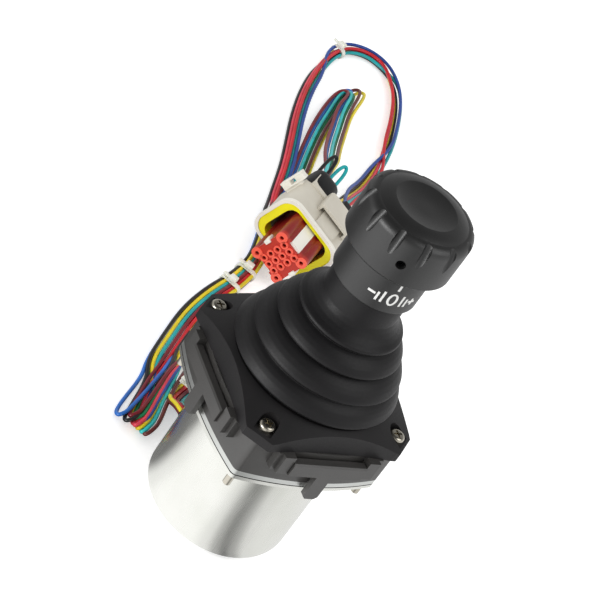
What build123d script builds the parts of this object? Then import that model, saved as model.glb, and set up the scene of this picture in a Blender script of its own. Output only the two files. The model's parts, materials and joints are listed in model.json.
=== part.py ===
from build123d import *
import math
import os

os.makedirs("parts", exist_ok=True)

# Driving dimensions, in millimetres. +Z runs up the stick, the floor is z = 0 under the can,
# and the stick's axis is the Z axis.

# Clearances
run_gap = 0.03          # radial running clearance of a pin in its bush
fit_gap = 0.02          # radial clearance of a seated fit
free_gap = 0.3          # gap between curved faces that only pass each other

# Can: a deep drawn cup with a flange
can_radius = 37.6
can_wall = 1.2
can_height = 65.7
can_bottom_round = 8.0
can_flange_t = 2.0

# Outline shared by the can flange, gasket, flange plate and housing: convex sides, round corners
body_corner = 39.8      # half distance between the corners of the outline
body_side = 44.5        # half width at the middle of a side
body_corner_round = 3.5

gasket_t = 0.6
plate_t = 2.7
plate_opening = 26.0
housing_h = 20.3
housing_bore = 38.6

# Bezel: square cover with cut corners, shallow scalloped sides and a conical top
bezel_half = 45.5
bezel_corner_cut = 10.0
bezel_scallop = 1.8
bezel_scallop_land = 2.5
bezel_rim_h = 4.7       # height of the rim at a corner
bezel_rise = 8.4        # rise of the cone from a corner to the flat ring
bezel_flat_r = 41.0
bezel_opening = 36.5
bezel_skin = 3.0
bezel_bore = 40.5

# Four long screws that hold the stack together
screw_spacing = 72.0
screw_r = 1.98          # over the thread
screw_shank_r = 1.75    # plain shank, as a rolled thread leaves it
screw_thread_gap = 0.3  # the thread begins this far below the can's flange
screw_hole_r = 2.2
screw_head_r = 4.0
screw_head_h = 3.0
screw_length = 39.5
screw_seat_drop = 2.5   # seat below the cone surface at the screw
pocket_w = 9.2
pocket_reach = 5.4      # from the screw to the inner end of its pocket

# Panel latches: a bar on two stubs with a release leg
latch_bar_l = 40.0
latch_bar_h = 7.8
latch_bar_t = 4.3
latch_leg_w = 8.0
latch_leg_t = 3.0
latch_leg_drop = 15.0
latch_out = 49.5        # outer face of the bar, from the axis
latch_top_gap = 3.0     # panel slot between the bar and the bezel
latch_stub_r = 1.4
latch_stub_l = 3.4
lug_w = 6.0
lug_set_back = 1.2      # the lugs end behind the bar's outer face
lug_gap = 0.4

# Gimbal
pivot_z = 80.0
ring_outer = 18.0
ring_inner = 11.5
ring_h = 9.0
pin_r = 2.5
bush_r = 3.5
bush_flange_r = 4.8
bush_flange_t = 0.8
frame_ring_outer = 36.0
frame_ring_inner = 20.0
frame_ring_t = 3.0
post_near = 20.4
post_t = 5.6
post_half_w = 7.0
post_rise = 6.6         # top of a post above the pivot
post_rib_t = 2.4
post_rib_l = 6.0
post_rib_h = 12.0
frame_screw_circle = 31.0
frame_screw_r = 1.48
frame_screw_head_r = 2.9
frame_screw_head_h = 1.8
frame_screw_grip = 1.2  # how far the thread stands out below the plate's face

# Stick
shaft_r = 4.5
hub_r = 8.0
hub_h = 12.0
shaft_top_wall = 1.0    # collar left above the shaft
tail_end = 59.0
magnet_r = 4.0
magnet_h = 3.3
holder_r = 7.0
holder_h = 9.0
holder_skirt = 3.5      # how far the holder stands out below the shaft
magnet_set_back = 0.6

# Centring spring between the spring plate and a cap on the stick
spring_plate_t = 2.0
spring_plate_hole = 12.9
spring_wire_r = 1.1
spring_low_r = 14.8
spring_top_r = 11.0
spring_turns = 5
spring_free_h = 27.0
cap_r = 14.5
cap_t = 3.0
clip_t = 1.2
clip_r = 7.0
clip_mouth = 5.0

# Bellows: stepped rubber cone; each crest is (radius, height)
bellows_wall = 1.4
bellows_crests = [(42.9, 107.6), (38.4, 118.7), (32.5, 129.9), (26.9, 140.1)]
bellows_fold = 2.4      # how far each fold lies inside the crest above it
bellows_fold_drop = 2.2
bellows_bulge = 0.7
bellows_lip = 1.3       # height of the rounded lip at a crest
bellows_lip_in = 0.9    # how far the lip turns in below the crest
bellows_lift = 0.7      # lowest lobe above the bezel
bellows_neck_r = 35.8
bellows_top_r = 19.3
bellows_flare_h = 9.5   # from the highest crest to the straight neck
bellows_flare = 0.7
bellows_tuck = 6.4      # how far the neck reaches into the collar
bead_r = 39.6
bead_t = 1.7

# Collar and knob
collar_r = 21.5
collar_bottom = 161.6
collar_h = 20.4
collar_edge = 1.0
collar_recess_r = 20.7
collar_boss_r = 17.3
collar_recess_h = 8.6
knob_r = 27.05
knob_gap = 0.5          # between the collar and the knob
knob_side_h = 20.1
knob_shoulder = 4.6
knob_crown_rise = 2.0
knob_dish_depth = 1.4
knob_dish_flat_r = 4.0
knob_ring_r = 15.5
knob_bore = 23.4
knob_roof = 6.2         # from the crown down to the ceiling inside
knob_edge = 1.2
flute_count = 12
flute_r = 2.1
flute_start_deg = -135.0 - 3.2
flute_top_r = 25.3
flute_low_r = 29.2
flute_top_drop = 0.7    # below the crown
flute_low_rise = 12.4   # above the knob's lower edge
knob_hub_r = 8.0
knob_hub_rise = 7.3
grub_rise = 10.8
grub_r = 2.0
grub_hole_r = 2.35
grub_deg = -135.0 + 12.5

# Twist sensor in the knob
sensor_r = 11.0
sensor_h = 5.5
sensor_bush_r = 4.5
sensor_bush_h = 1.8
sensor_shaft_r = 3.0
sensor_shaft_dip = 4.0
sensor_shaft_l = 14.2
twist_limit_deg = 30.0
stop_pin_r = 1.5
stop_pin_circle = 17.5
stop_pin_h = 6.0
stop_pin_dip = 4.8
twist_wire_r = 0.7
twist_turns = 4

# Electronics in the can
board_r = 34.0
board_t = 1.6
board_z = 50.0
pillar_r = 3.0
pillar_circle = 30.0
board_screw_r = 1.25
board_screw_head_r = 2.6
board_screw_head_h = 1.6
board_screw_grip = 6.0
chip_size = 5.0
chip_t = 1.2
# Other chips: place as parts of the board's radius, sides in chip sizes
board_chips = [(-0.53, 0.12, 1.4, 1.4), (0.41, -0.47, 1.8, 1.2), (-0.29, -0.59, 1.0, 1.6)]
header_l = 24.0
header_w = 7.0
header_h = 8.0
header_circle = 20.0

# Cable exit in the can wall, low on the rear left side
exit_deg = 98.1
exit_z = 14.0
grommet_bore = 3.6
grommet_neck_r = 6.0
grommet_flange_r = 8.0
grommet_flange_t = 1.9
grommet_sleeve_l = 6.0
grommet_tip_r = 4.7
cable_r = 3.5
inner_cable_r = 3.0

# Connector at the end of the harness, in its own frame: Y runs from its face to its wires
con_w = 41.0
con_h = 31.4
con_l = 28.0
con_round = 7.0
con_wall = 1.4
con_back = 5.0          # solid wall behind the cavity
con_face_out = 22.0     # how far the insert stands out of the housing
insert_w = 23.8
insert_h = 25.6
insert_seat = 2.0       # how far the insert sits in the rear wall
lobe_r = 3.3            # round lobe at each corner of the insert
core_w = 15.4
core_h = 23.4
core_round = 2.0
cavity_r = 1.25
cavity_pitch_x = 4.4
cavity_pitch_z = 5.2
cavity_depth = 12.0
key_w = 8.0
key_t = 2.6
key_set_back = 3.0
seal_t = 1.2
seal_l = 7.0
seal_set_back = 0.8
cover_w = 28.0
cover_h = 24.0
cover_l = 9.0
cage_w = 22.6
cage_h = 5.4
cage_l = 15.0
cage_wall = 1.8
cage_shift = 4.8
lever_w = 14.0
lever_t = 1.6
lever_l = 22.0
tab_w = 13.0
tab_l = 11.0
tab_t = 4.4
tab_slot_w = 5.0
tab_slot_t = 2.2
con_roll = 20.0
con_pitch = 2.0
con_left = 49.4
con_away = 172.5
con_rise = 20.6

# Harness bundles
trunk_r = 3.5
branch_r = 2.75
tie_t = 1.0
tie_w = 2.6
tie_head = 3.2
tie_head_w = 4.6
splice_w = 13.4
splice_h = 8.6
splice_l = 9.0
splice_left = 71.6
splice_away = 226.0
trunk_z = 5.0
branch_z = 4.0

# Heights worked out from the stack
flange_top = can_height + can_flange_t
plate_bottom = flange_top + gasket_t
housing_bottom = plate_bottom + plate_t
bezel_bottom = housing_bottom + housing_h
corner_r = math.hypot(bezel_half, bezel_half - bezel_corner_cut)
bezel_corner_z = bezel_bottom + bezel_rim_h
bezel_top = bezel_corner_z + bezel_rise
bezel_slope = bezel_rise / (corner_r - bezel_flat_r)
half_pitch = screw_spacing / 2
screw_circle = half_pitch * math.sqrt(2)
seat_z = bezel_corner_z + bezel_slope * (corner_r - screw_circle) - screw_seat_drop
lug_out = latch_out - lug_set_back
lobe_x = insert_w / 2 - lobe_r
lobe_z = insert_h / 2 - lobe_r
latch_top = bezel_bottom - latch_top_gap
latch_pivot_z = latch_top - latch_bar_h / 2
latch_pivot_y = latch_out - latch_bar_t + latch_stub_r
spring_plate_top = bezel_bottom + spring_plate_t
cap_bottom = spring_plate_top + spring_free_h + spring_wire_r
bead_bottom = bezel_top - bezel_skin - free_gap - bead_t
post_top = pivot_z + post_rise
holder_bottom = tail_end - holder_skirt
collar_top = collar_bottom + collar_h
shaft_top = collar_top - shaft_top_wall
bellows_top_z = collar_bottom + bellows_tuck
knob_bottom = collar_top + knob_gap
knob_side_top = knob_bottom + knob_side_h
knob_crown = knob_side_top + knob_shoulder + knob_crown_rise
knob_dish = knob_crown - knob_dish_depth
knob_ceiling = knob_crown - knob_roof
knob_hub_bottom = knob_bottom + knob_hub_rise
grub_z = knob_bottom + grub_rise
flute_top_z = knob_crown - flute_top_drop
flute_low_z = knob_bottom + flute_low_rise
sensor_top = collar_top + sensor_h
sensor_shaft_low = sensor_top + sensor_bush_h - sensor_shaft_dip
sensor_shaft_top = sensor_shaft_low + sensor_shaft_l

UP = (Align.CENTER, Align.CENTER, Align.MIN)


def rod(radius, z0, z1, x=0.0, y=0.0):
    """Upright cylinder between two heights."""
    return Pos(x, y, z0) * Cylinder(radius, z1 - z0, align=UP)


def pipe(outer, inner, z0, z1):
    return rod(outer, z0, z1) - rod(inner, z0 - 1, z1 + 1)


def rod_x(radius, x0, x1, y, z):
    return Pos(x0, y, z) * Rot(0, 90, 0) * Cylinder(radius, x1 - x0, align=UP)


def rod_y(radius, y0, y1, x, z):
    return Pos(x, y0, z) * Rot(-90, 0, 0) * Cylinder(radius, y1 - y0, align=UP)


def turned(points):
    """Solid of revolution from (radius, height) points."""
    outline = Polyline(*[(r, 0, z) for r, z in points], close=True)
    return revolve(make_face(outline), Axis.Z)


def four(piece):
    """The piece at 0, 90, 180 and 270 degrees about Z."""
    return [Rot(0, 0, 90 * k) * piece for k in range(4)]


def corners(piece):
    """The piece moved to the four screw positions."""
    return [Pos(sx * half_pitch, sy * half_pitch, 0) * piece for sx in (-1, 1) for sy in (-1, 1)]


def body_outline():
    c = body_corner
    s = body_side
    arcs = [
        ThreePointArc((-c, -c), (0, -s), (c, -c)),
        ThreePointArc((c, -c), (s, 0), (c, c)),
        ThreePointArc((c, c), (0, s), (-c, c)),
        ThreePointArc((-c, c), (-s, 0), (-c, -c)),
    ]
    face = make_face(arcs)
    return fillet(face.vertices(), body_corner_round)


def body_slab(z0, z1):
    return extrude(Pos(0, 0, z0) * body_outline(), z1 - z0)


def polar(radius, degrees, z=0.0):
    a = math.radians(degrees)
    return Pos(radius * math.cos(a), radius * math.sin(a), z)


# Stack of the body

def exit_place(radius):
    """Plane at the cable exit whose Z points out of the can."""
    a = math.radians(exit_deg)
    out = Vector(math.cos(a), math.sin(a), 0)
    return Plane(origin=out * radius + Vector(0, 0, exit_z), x_dir=(0, 0, 1), z_dir=out)


def at_exit(radius, length, r0, r1=None):
    """Round piece on the exit's axis, from the given distance outwards."""
    if r1 is None:
        shape = Cylinder(r0, length, align=UP)
    else:
        shape = Cone(r0, r1, length, align=UP)
    return exit_place(radius).location * shape


def make_can():
    inner_r = can_radius - can_wall
    cup = fillet(rod(can_radius, 0, can_height + 0.5).faces().sort_by(Axis.Z)[0].edges(), can_bottom_round)
    body = cup + body_slab(can_height, flange_top)
    hollow = rod(inner_r, can_wall, flange_top + 1)
    hollow = fillet(hollow.faces().sort_by(Axis.Z)[0].edges(), can_bottom_round - can_wall)
    body = body - hollow - at_exit(can_radius - 4, 8, grommet_neck_r + 0.1)
    return body - corners(rod(screw_hole_r, can_height - 1, flange_top + 1))


def make_gasket():
    sheet = body_slab(flange_top, plate_bottom) - rod(can_radius - can_wall, flange_top - 1, plate_bottom + 1)
    return sheet - corners(rod(screw_hole_r, flange_top - 1, plate_bottom + 1))


def make_flange_plate():
    plate = body_slab(plate_bottom, housing_bottom) - rod(plate_opening, plate_bottom - 1, housing_bottom + 1)
    plate = plate - corners(rod(screw_r + fit_gap, plate_bottom - 1, housing_bottom + 1))
    for k in range(4):
        hole = rod(frame_screw_r + fit_gap, plate_bottom - 1, housing_bottom + 1)
        plate = plate - polar(frame_screw_circle, 90 * k) * hole
    return plate


def lug_pair():
    """The two blocks that carry one latch, on the -Y side."""
    x0 = latch_bar_l / 2 + lug_gap
    height = bezel_bottom - (latch_top - latch_bar_h)
    low = latch_top - latch_bar_h
    depth = lug_out - housing_bore - 0.5
    block = Pos(x0, -lug_out, low) * Box(lug_w, depth, height, align=(Align.MIN, Align.MIN, Align.MIN))
    step = Pos(x0 + lug_w, -(lug_out - 2.4), low) * Box(2.4, depth - 2.4, height, align=(Align.MIN, Align.MIN, Align.MIN))
    bore = rod_x(latch_stub_r + run_gap, x0 - 1, x0 + latch_stub_l + 0.6 - lug_gap, -latch_pivot_y, latch_pivot_z)
    right = block + step - bore
    return right, mirror(right, Plane.YZ)


def make_housing():
    body = body_slab(housing_bottom, bezel_bottom)
    for k in range(4):
        for lug in lug_pair():
            body = body + Rot(0, 0, 90 * k) * lug
    body = body - rod(housing_bore, housing_bottom - 1, bezel_bottom + 1)
    return body - corners(rod(screw_hole_r, housing_bottom - 1, bezel_bottom + 1))


def bezel_outline():
    h = bezel_half
    c = bezel_half - bezel_corner_cut
    a = c - bezel_scallop_land
    edges = []
    for k in range(4):
        side = [
            Line((-c, -h), (-a, -h)),
            ThreePointArc((-a, -h), (0, -h + bezel_scallop), (a, -h)),
            Line((a, -h), (c, -h)),
            Line((c, -h), (h, -c)),
        ]
        edges += [Rot(0, 0, 90 * k) * e for e in side]
    return make_face(edges)


def make_bezel():
    top = bezel_top
    slab = extrude(Pos(0, 0, bezel_bottom) * bezel_outline(), top - bezel_bottom + 1)
    far = corner_r + 4
    cone = turned([(0, bezel_bottom), (far, bezel_bottom), (far, bezel_corner_z - 4 * bezel_slope),
                   (bezel_flat_r, top), (0, top)])
    body = slab & cone
    body = body - rod(bezel_bore, bezel_bottom - 1, top - bezel_skin)
    body = body - rod(bezel_opening, bezel_bottom, top + 1)
    pocket_l = 2 * pocket_reach + pocket_w
    slot = extrude(SlotOverall(pocket_l, pocket_w), 20)
    for k in range(4):
        angle = 45 + 90 * k
        centre = screw_circle - pocket_reach + pocket_l / 2
        body = body - polar(centre, angle, seat_z) * Rot(0, 0, angle) * slot
    return body - corners(rod(screw_hole_r, bezel_bottom - 1, bezel_top))


def make_screw():
    head = rod(screw_head_r, seat_z, seat_z + screw_head_h)
    head = fillet(head.faces().sort_by(Axis.Z)[-1].edges(), 1.6)
    thread_top = can_height - screw_thread_gap
    thread = rod(screw_r, seat_z - screw_length, thread_top)
    thread = chamfer(thread.faces().sort_by(Axis.Z)[0].edges(), 0.5)
    shank = rod(screw_shank_r, thread_top, seat_z)
    wing = Box(4.6, 1.0, 1.9, align=UP)
    recess = Pos(0, 0, seat_z + screw_head_h - 1.7) * (wing + Rot(0, 0, 90) * wing)
    return head + shank + thread - recess


def make_latch():
    """Latch on the -Y side: bar, leg and two stubs."""
    bottom = latch_top - latch_bar_h
    bar = Pos(0, -latch_out, bottom) * Box(latch_bar_l, latch_bar_t, latch_bar_h,
                                           align=(Align.CENTER, Align.MIN, Align.MIN))
    bar = chamfer(bar.edges().filter_by(Axis.X).sort_by(Axis.Z)[-2:].sort_by(Axis.Y)[0], 0.8)
    leg = Pos(0, -latch_out, bottom - latch_leg_drop) * Box(
        latch_leg_w, latch_leg_t, latch_leg_drop + 2, align=(Align.CENTER, Align.MIN, Align.MIN))
    low = leg.edges().filter_by(Axis.Y).sort_by(Axis.Z)[:2]
    leg = chamfer(low, 1.5)
    stubs = rod_x(latch_stub_r, -latch_bar_l / 2 - latch_stub_l, latch_bar_l / 2 + latch_stub_l,
                  -latch_pivot_y, latch_pivot_z)
    return bar + leg + stubs


# Gimbal

def make_frame():
    base = housing_bottom
    body = pipe(frame_ring_outer, frame_ring_inner, base, base + frame_ring_t)
    for side in (-1, 1):
        post = Pos(side * (post_near + post_t / 2), 0, base) * Box(
            post_t, 2 * post_half_w, post_top - base, align=UP)
        top_edges = post.edges().filter_by(Axis.X).sort_by(Axis.Z)[-2:]
        post = chamfer(top_edges, 3.0)
        rib = Pos(side * (post_near + post_t), 0, base) * Box(
            post_rib_l, post_rib_t, post_rib_h, align=(Align.MIN if side > 0 else Align.MAX, Align.CENTER, Align.MIN))
        body = body + post + rib
    body = body - rod_x(bush_r, -frame_ring_outer, frame_ring_outer, 0, pivot_z)
    for k in range(4):
        body = body - polar(frame_screw_circle, 90 * k) * rod(1.7, base - 1, base + 20)
        body = body - polar(frame_screw_circle, 90 * k) * rod(
            frame_screw_head_r + 0.4, base + frame_ring_t, base + 20)
    return body


def make_frame_screws():
    z = housing_bottom + frame_ring_t
    head = rod(frame_screw_head_r, z, z + frame_screw_head_h)
    screw = head + rod(frame_screw_r, plate_bottom - frame_screw_grip, z)
    return [polar(frame_screw_circle, 90 * k) * screw for k in range(4)]


def bush_on_x(x0, x1, flange_inwards):
    """Flanged bush along X at the pivot height."""
    body = rod_x(bush_r - fit_gap, x0, x1, 0, pivot_z)
    if flange_inwards:
        body = body + rod_x(bush_flange_r, x0 - bush_flange_t, x0, 0, pivot_z)
    else:
        body = body + rod_x(bush_flange_r, x1, x1 + bush_flange_t, 0, pivot_z)
    return body - rod_x(pin_r + run_gap, x0 - 3, x1 + 3, 0, pivot_z)


def make_frame_bushes():
    right = bush_on_x(post_near, post_near + post_t, True)
    return [right, mirror(right, Plane.YZ)]


def make_ring():
    z0 = pivot_z - ring_h / 2
    body = pipe(ring_outer, ring_inner, z0, z0 + ring_h)
    body = chamfer(body.edges().filter_by(GeomType.CIRCLE), 0.6)
    body = body - rod_x(pin_r + fit_gap, -2 * ring_outer, 2 * ring_outer, 0, pivot_z)
    seat = ring_inner + 0.4
    body = body - rod_y(bush_flange_r + 0.1, -seat, seat, 0, pivot_z)
    return body - rod_y(bush_r, -2 * ring_outer, 2 * ring_outer, 0, pivot_z)


def make_ring_pins():
    outer_end = post_near + post_t + 0.6
    right = rod_x(pin_r, ring_inner + 0.8, outer_end, 0, pivot_z)
    return [right, mirror(right, Plane.YZ)]


def make_ring_bushes():
    inner = Rot(0, 0, 90) * bush_on_x(ring_inner + 0.4, ring_outer - 0.4, True)
    return [inner, Rot(0, 0, 180) * inner]


def make_cross_pin():
    return rod_y(pin_r, -ring_outer + 1.0, ring_outer - 1.0, 0, pivot_z)


# Stick

def make_shaft():
    hub = rod(hub_r, pivot_z - hub_h / 2, pivot_z + hub_h / 2)
    hub = chamfer(hub.edges().filter_by(GeomType.CIRCLE), 0.8)
    body = hub + rod(shaft_r, tail_end, shaft_top)
    groove_z = cap_bottom + cap_t
    body = body - pipe(shaft_r + 1, shaft_r - 0.7, groove_z, groove_z + clip_t + 0.1)
    return body - rod_y(pin_r + fit_gap, -2 * hub_r, 2 * hub_r, 0, pivot_z)


def make_holder():
    body = rod(holder_r, holder_bottom, holder_bottom + holder_h)
    body = chamfer(body.edges().filter_by(GeomType.CIRCLE), 0.6)
    body = body - rod(shaft_r + fit_gap, tail_end, holder_bottom + holder_h + 1)
    return body - rod(magnet_r + fit_gap, holder_bottom - 1, tail_end - magnet_set_back)


def make_magnet():
    top = tail_end - magnet_set_back
    return rod(magnet_r, top - magnet_h, top)


def coil(mean_low, mean_high, wire, z0, height, turns):
    """Round wire wound on a cylinder or a cone."""
    if abs(mean_low - mean_high) < 0.01:
        path = Helix(height / turns, height, mean_low)
    else:
        cone = math.degrees(math.atan2(mean_high - mean_low, height))
        path = Helix(height / turns, height, mean_low, cone_angle=cone)
    path = Pos(0, 0, z0) * path
    section = Plane(origin=path @ 0, z_dir=path % 0) * Circle(wire)
    return sweep(section, path=path, is_frenet=True)


def make_spring():
    z0 = spring_plate_top + spring_wire_r + 0.05
    height = spring_free_h - spring_wire_r - 0.1
    return coil(spring_low_r, spring_top_r, spring_wire_r, z0, height, spring_turns)


def make_spring_plate():
    return pipe(bezel_bore - free_gap, spring_plate_hole, bezel_bottom, spring_plate_top)


def make_cap():
    body = rod(cap_r, cap_bottom, cap_bottom + cap_t)
    body = chamfer(body.edges().filter_by(GeomType.CIRCLE), 0.5)
    return body - rod(shaft_r + fit_gap, cap_bottom - 1, cap_bottom + cap_t + 1)


def make_clip():
    z = cap_bottom + cap_t
    ring = pipe(clip_r, shaft_r - 0.65, z, z + clip_t)
    mouth = Box(clip_mouth, 2 * clip_r, 2 * clip_t, align=(Align.CENTER, Align.MIN, Align.CENTER))
    return ring - Pos(0, 0, z) * mouth


# Bellows

def lip_fold(k):
    """Fold under crest k, as (radius, height)."""
    r, z = bellows_crests[k]
    return (r - bellows_fold, z - bellows_fold_drop)


def bellows_outer():
    """Outer skin, from the bead to the top: a rounded lip at each crest, then a slope to the next fold."""
    def at(r, z):
        return (r, 0, z)
    neck_top = bezel_top + bellows_lift
    edges = [Line(at(bellows_neck_r, bead_bottom + bead_t), at(bellows_neck_r, neck_top))]
    last = at(bellows_neck_r, neck_top)
    count = len(bellows_crests)
    for k, (r, z) in enumerate(bellows_crests):
        low = at(r - bellows_lip_in, z - bellows_lip)
        high = at(r - bellows_lip_in / 2, z + bellows_lip)
        edges.append(Line(last, low))
        edges.append(ThreePointArc(low, at(r, z), high))
        if k + 1 < count:
            end = at(*lip_fold(k + 1))
            bulge = bellows_bulge
        else:
            end = at(bellows_top_r, z + bellows_flare_h)
            bulge = -bellows_flare
        mid = at((high[0] + end[0]) / 2 + bulge, (high[2] + end[2]) / 2 + bulge)
        edges.append(ThreePointArc(high, mid, end))
        last = end
    top = at(bellows_top_r, bellows_top_z)
    edges.append(Line(last, top))
    return edges


def bellows_inner():
    """Corner points of the inner skin, from the bead to the top."""
    inner_neck = bellows_neck_r - bellows_wall
    points = [(inner_neck, bead_bottom), (inner_neck, bezel_top + bellows_lift + bellows_wall)]
    for k, (r, z) in enumerate(bellows_crests):
        if k > 0:
            fr, fz = lip_fold(k)
            points.append((fr - bellows_wall, fz))
        points.append((r - 2 * bellows_wall, z + bellows_wall / 2))
    inner_top = bellows_top_r - bellows_wall
    points.append((inner_top, bellows_crests[-1][1] + bellows_flare_h))
    points.append((inner_top, bellows_top_z))
    return [(r, 0, z) for r, z in points]


def make_bellows():
    inner = bellows_inner()
    z = bead_bottom + bead_t
    rim = Polyline(inner[0], (bead_r, 0, bead_bottom), (bead_r, 0, z), (bellows_neck_r, 0, z))
    top = Line(inner[-1], (bellows_top_r, 0, bellows_top_z))
    edges = bellows_outer() + Polyline(*inner).edges() + rim.edges() + [top]
    return revolve(make_face(edges), Axis.Z)


def make_boot_clamp():
    out = bezel_bore - free_gap
    lip = bellows_neck_r - 1.0
    top = bead_bottom
    return turned([(out - 2.6, spring_plate_top), (out, spring_plate_top), (out, top), (lip, top),
                   (lip, top - 1.8), (out - 2.6, top - 1.8)])


# Collar and knob

def make_collar():
    body = rod(collar_r, collar_bottom, collar_top)
    body = fillet(body.faces().sort_by(Axis.Z)[0].edges(), collar_edge)
    body = body - pipe(collar_recess_r, collar_boss_r, collar_bottom - 1, collar_bottom + collar_recess_h)
    body = body - rod(shaft_r + fit_gap, collar_bottom - 1, shaft_top + 0.2)
    x, y, z = stop_place()
    return body - rod(stop_pin_r + fit_gap, z - stop_pin_dip - 0.2, z + 1, x, y)


def stop_place():
    a = math.radians(grub_deg + 180)
    return (stop_pin_circle * math.cos(a), stop_pin_circle * math.sin(a), collar_top)


def make_stop_pin():
    x, y, z = stop_place()
    return rod(stop_pin_r, z - stop_pin_dip, z + stop_pin_h, x, y)


def make_sensor():
    body = rod(sensor_r, collar_top, sensor_top)
    body = chamfer(body.faces().sort_by(Axis.Z)[-1].edges(), 0.6)
    body = body + rod(sensor_bush_r, sensor_top, sensor_top + sensor_bush_h)
    return body - rod(sensor_shaft_r + run_gap, sensor_shaft_low - free_gap, sensor_top + sensor_bush_h + 1)


def make_sensor_shaft():
    return rod(sensor_shaft_r, sensor_shaft_low, sensor_shaft_top)


def knob_profile():
    """Outer form of the knob: side, shoulder, low crown ring and a shallow dish."""
    side = (knob_r, 0, knob_side_top)
    over = (knob_r - knob_shoulder, 0, knob_side_top + knob_shoulder)
    bend = knob_shoulder * (1 - math.sqrt(0.5))
    crown = (knob_ring_r, 0, knob_crown)
    rise = (over[0] - crown[0]) / 2
    dish_edge = (knob_dish_flat_r, 0, knob_dish)
    return [
        Line((0, 0, knob_bottom), (knob_r - knob_edge, 0, knob_bottom)),
        Line((knob_r - knob_edge, 0, knob_bottom), (knob_r, 0, knob_bottom + knob_edge)),
        Line((knob_r, 0, knob_bottom + knob_edge), side),
        ThreePointArc(side, (knob_r - bend, 0, over[2] - bend), over),
        ThreePointArc(over, (crown[0] + rise, 0, (over[2] + crown[2]) / 2 + 0.35), crown),
        ThreePointArc(crown, (knob_ring_r * 0.62, 0, knob_dish + 0.35), dish_edge),
        Line(dish_edge, (0, 0, knob_dish)),
        Line((0, 0, knob_dish), (0, 0, knob_bottom)),
    ]


def flute():
    """Cutter for one thumb flute, on the +X side."""
    dr = flute_low_r - flute_top_r
    dz = flute_low_z - flute_top_z
    place = Plane(origin=(flute_top_r, 0, flute_top_z), z_dir=(dr, 0, dz))
    return place.location * Cylinder(flute_r, math.hypot(dr, dz) + 3, align=UP)


def make_knob():
    body = revolve(make_face(knob_profile()), Axis.Z)
    for k in range(flute_count):
        body = body - Rot(0, 0, flute_start_deg + 360 / flute_count * k) * flute()
    body = body - rod(knob_bore, knob_bottom - 1, knob_ceiling)
    hub = rod(knob_hub_r, knob_hub_bottom, knob_ceiling + 0.5)
    pin_half = math.degrees(math.asin(stop_pin_r / stop_pin_circle))
    rib_turn = twist_limit_deg + 2 * pin_half + 1.5
    for side in (-1, 1):
        rib = Pos(stop_pin_circle + 1.0, 0, collar_top + 1.5) * Box(
            2 * (knob_bore - stop_pin_circle), 2 * stop_pin_r, knob_ceiling - collar_top - 1.0, align=UP)
        rib = rib & rod(knob_bore + 0.5, knob_bottom, knob_ceiling + 0.5)
        rib = rib - rod(stop_pin_circle - stop_pin_r - 1.0, knob_bottom, knob_crown)
        hub = hub + Rot(0, 0, grub_deg + 180 + side * rib_turn) * rib
    body = body + hub
    body = body - rod(sensor_shaft_r + fit_gap, knob_hub_bottom - 1, sensor_shaft_top + 0.2)
    reach = rod_x(grub_r + fit_gap, sensor_shaft_r - 0.5, knob_hub_r + 1, 0, grub_z)
    reach = reach + rod_x(grub_hole_r, knob_hub_r + 0.5, knob_r + 5, 0, grub_z)
    return body - Rot(0, 0, grub_deg) * reach


def make_grub():
    body = rod_x(grub_r, sensor_shaft_r + 0.05, knob_hub_r - 0.2, 0, grub_z)
    hexagon = Plane(origin=(knob_hub_r - 0.2, 0, grub_z), z_dir=(-1, 0, 0)) * RegularPolygon(1.15, 6)
    return Rot(0, 0, grub_deg) * (body - extrude(hexagon, 2.0))


def make_twist_spring():
    mean = knob_hub_r + 0.6 + twist_wire_r
    z0 = sensor_top + twist_wire_r + 0.05
    pitch = 2 * twist_wire_r + 0.6
    return coil(mean, mean, twist_wire_r, z0, pitch * twist_turns, twist_turns)


# Electronics

def make_board():
    body = rod(board_r, board_z, board_z + board_t)
    for k in range(4):
        hole = rod(board_screw_r + 0.2, board_z - 1, board_z + board_t + 1)
        body = body - polar(pillar_circle, 45 + 90 * k) * hole
    return body


def make_pillars():
    top = plate_bottom
    body = rod(pillar_r, board_z + board_t, top)
    body = body - rod(board_screw_r + fit_gap, board_z, board_z + board_t + board_screw_grip + 1)
    return [polar(pillar_circle, 45 + 90 * k) * body for k in range(4)]


def make_board_screws():
    head = rod(board_screw_head_r, board_z - board_screw_head_h, board_z)
    screw = head + rod(board_screw_r, board_z, board_z + board_t + board_screw_grip)
    return [polar(pillar_circle, 45 + 90 * k) * screw for k in range(4)]


def make_chips():
    top = board_z + board_t
    centre = Pos(0, 0, top) * Box(chip_size, chip_size, chip_t, align=UP)
    chips = [centre]
    for x, y, w, d in board_chips:
        chips.append(Pos(x * board_r, y * board_r, top) * Box(w * chip_size, d * chip_size, chip_t, align=UP))
    return chips


def make_header():
    body = Box(header_w, header_l, header_h, align=(Align.CENTER, Align.CENTER, Align.MAX))
    return polar(header_circle, exit_deg, board_z) * Rot(0, 0, exit_deg) * body


# Cable and harness

def floor_point(left, away, z):
    """Point from its distances to the left of and behind the stick, seen from the front corner."""
    root = math.sqrt(2)
    return Vector((away - left) / root, (away + left) / root, z)


def tube(name, points, radius):
    """Tube along straight runs joined by arcs as large as the runs allow."""
    points = [Vector(p) for p in points]
    runs = [(b - a) for a, b in zip(points, points[1:])]
    radii = []
    for a, b in zip(runs, runs[1:]):
        turn = math.radians(a.get_angle(b))
        radii.append(0.45 * min(a.length, b.length) / math.tan(turn / 2))
    path = FilletPolyline(*points, radius=radii)
    section = Plane(origin=path @ 0, z_dir=path % 0) * Circle(radius)
    solid = sweep(section, path=path)
    expected = math.pi * radius ** 2 * path.length
    print(name, "length", round(path.length, 1), "volume ratio", round(solid.volume / expected, 4))
    print("  bend radii in diameters", [round(r / (2 * radius), 1) for r in radii])
    return solid


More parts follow.
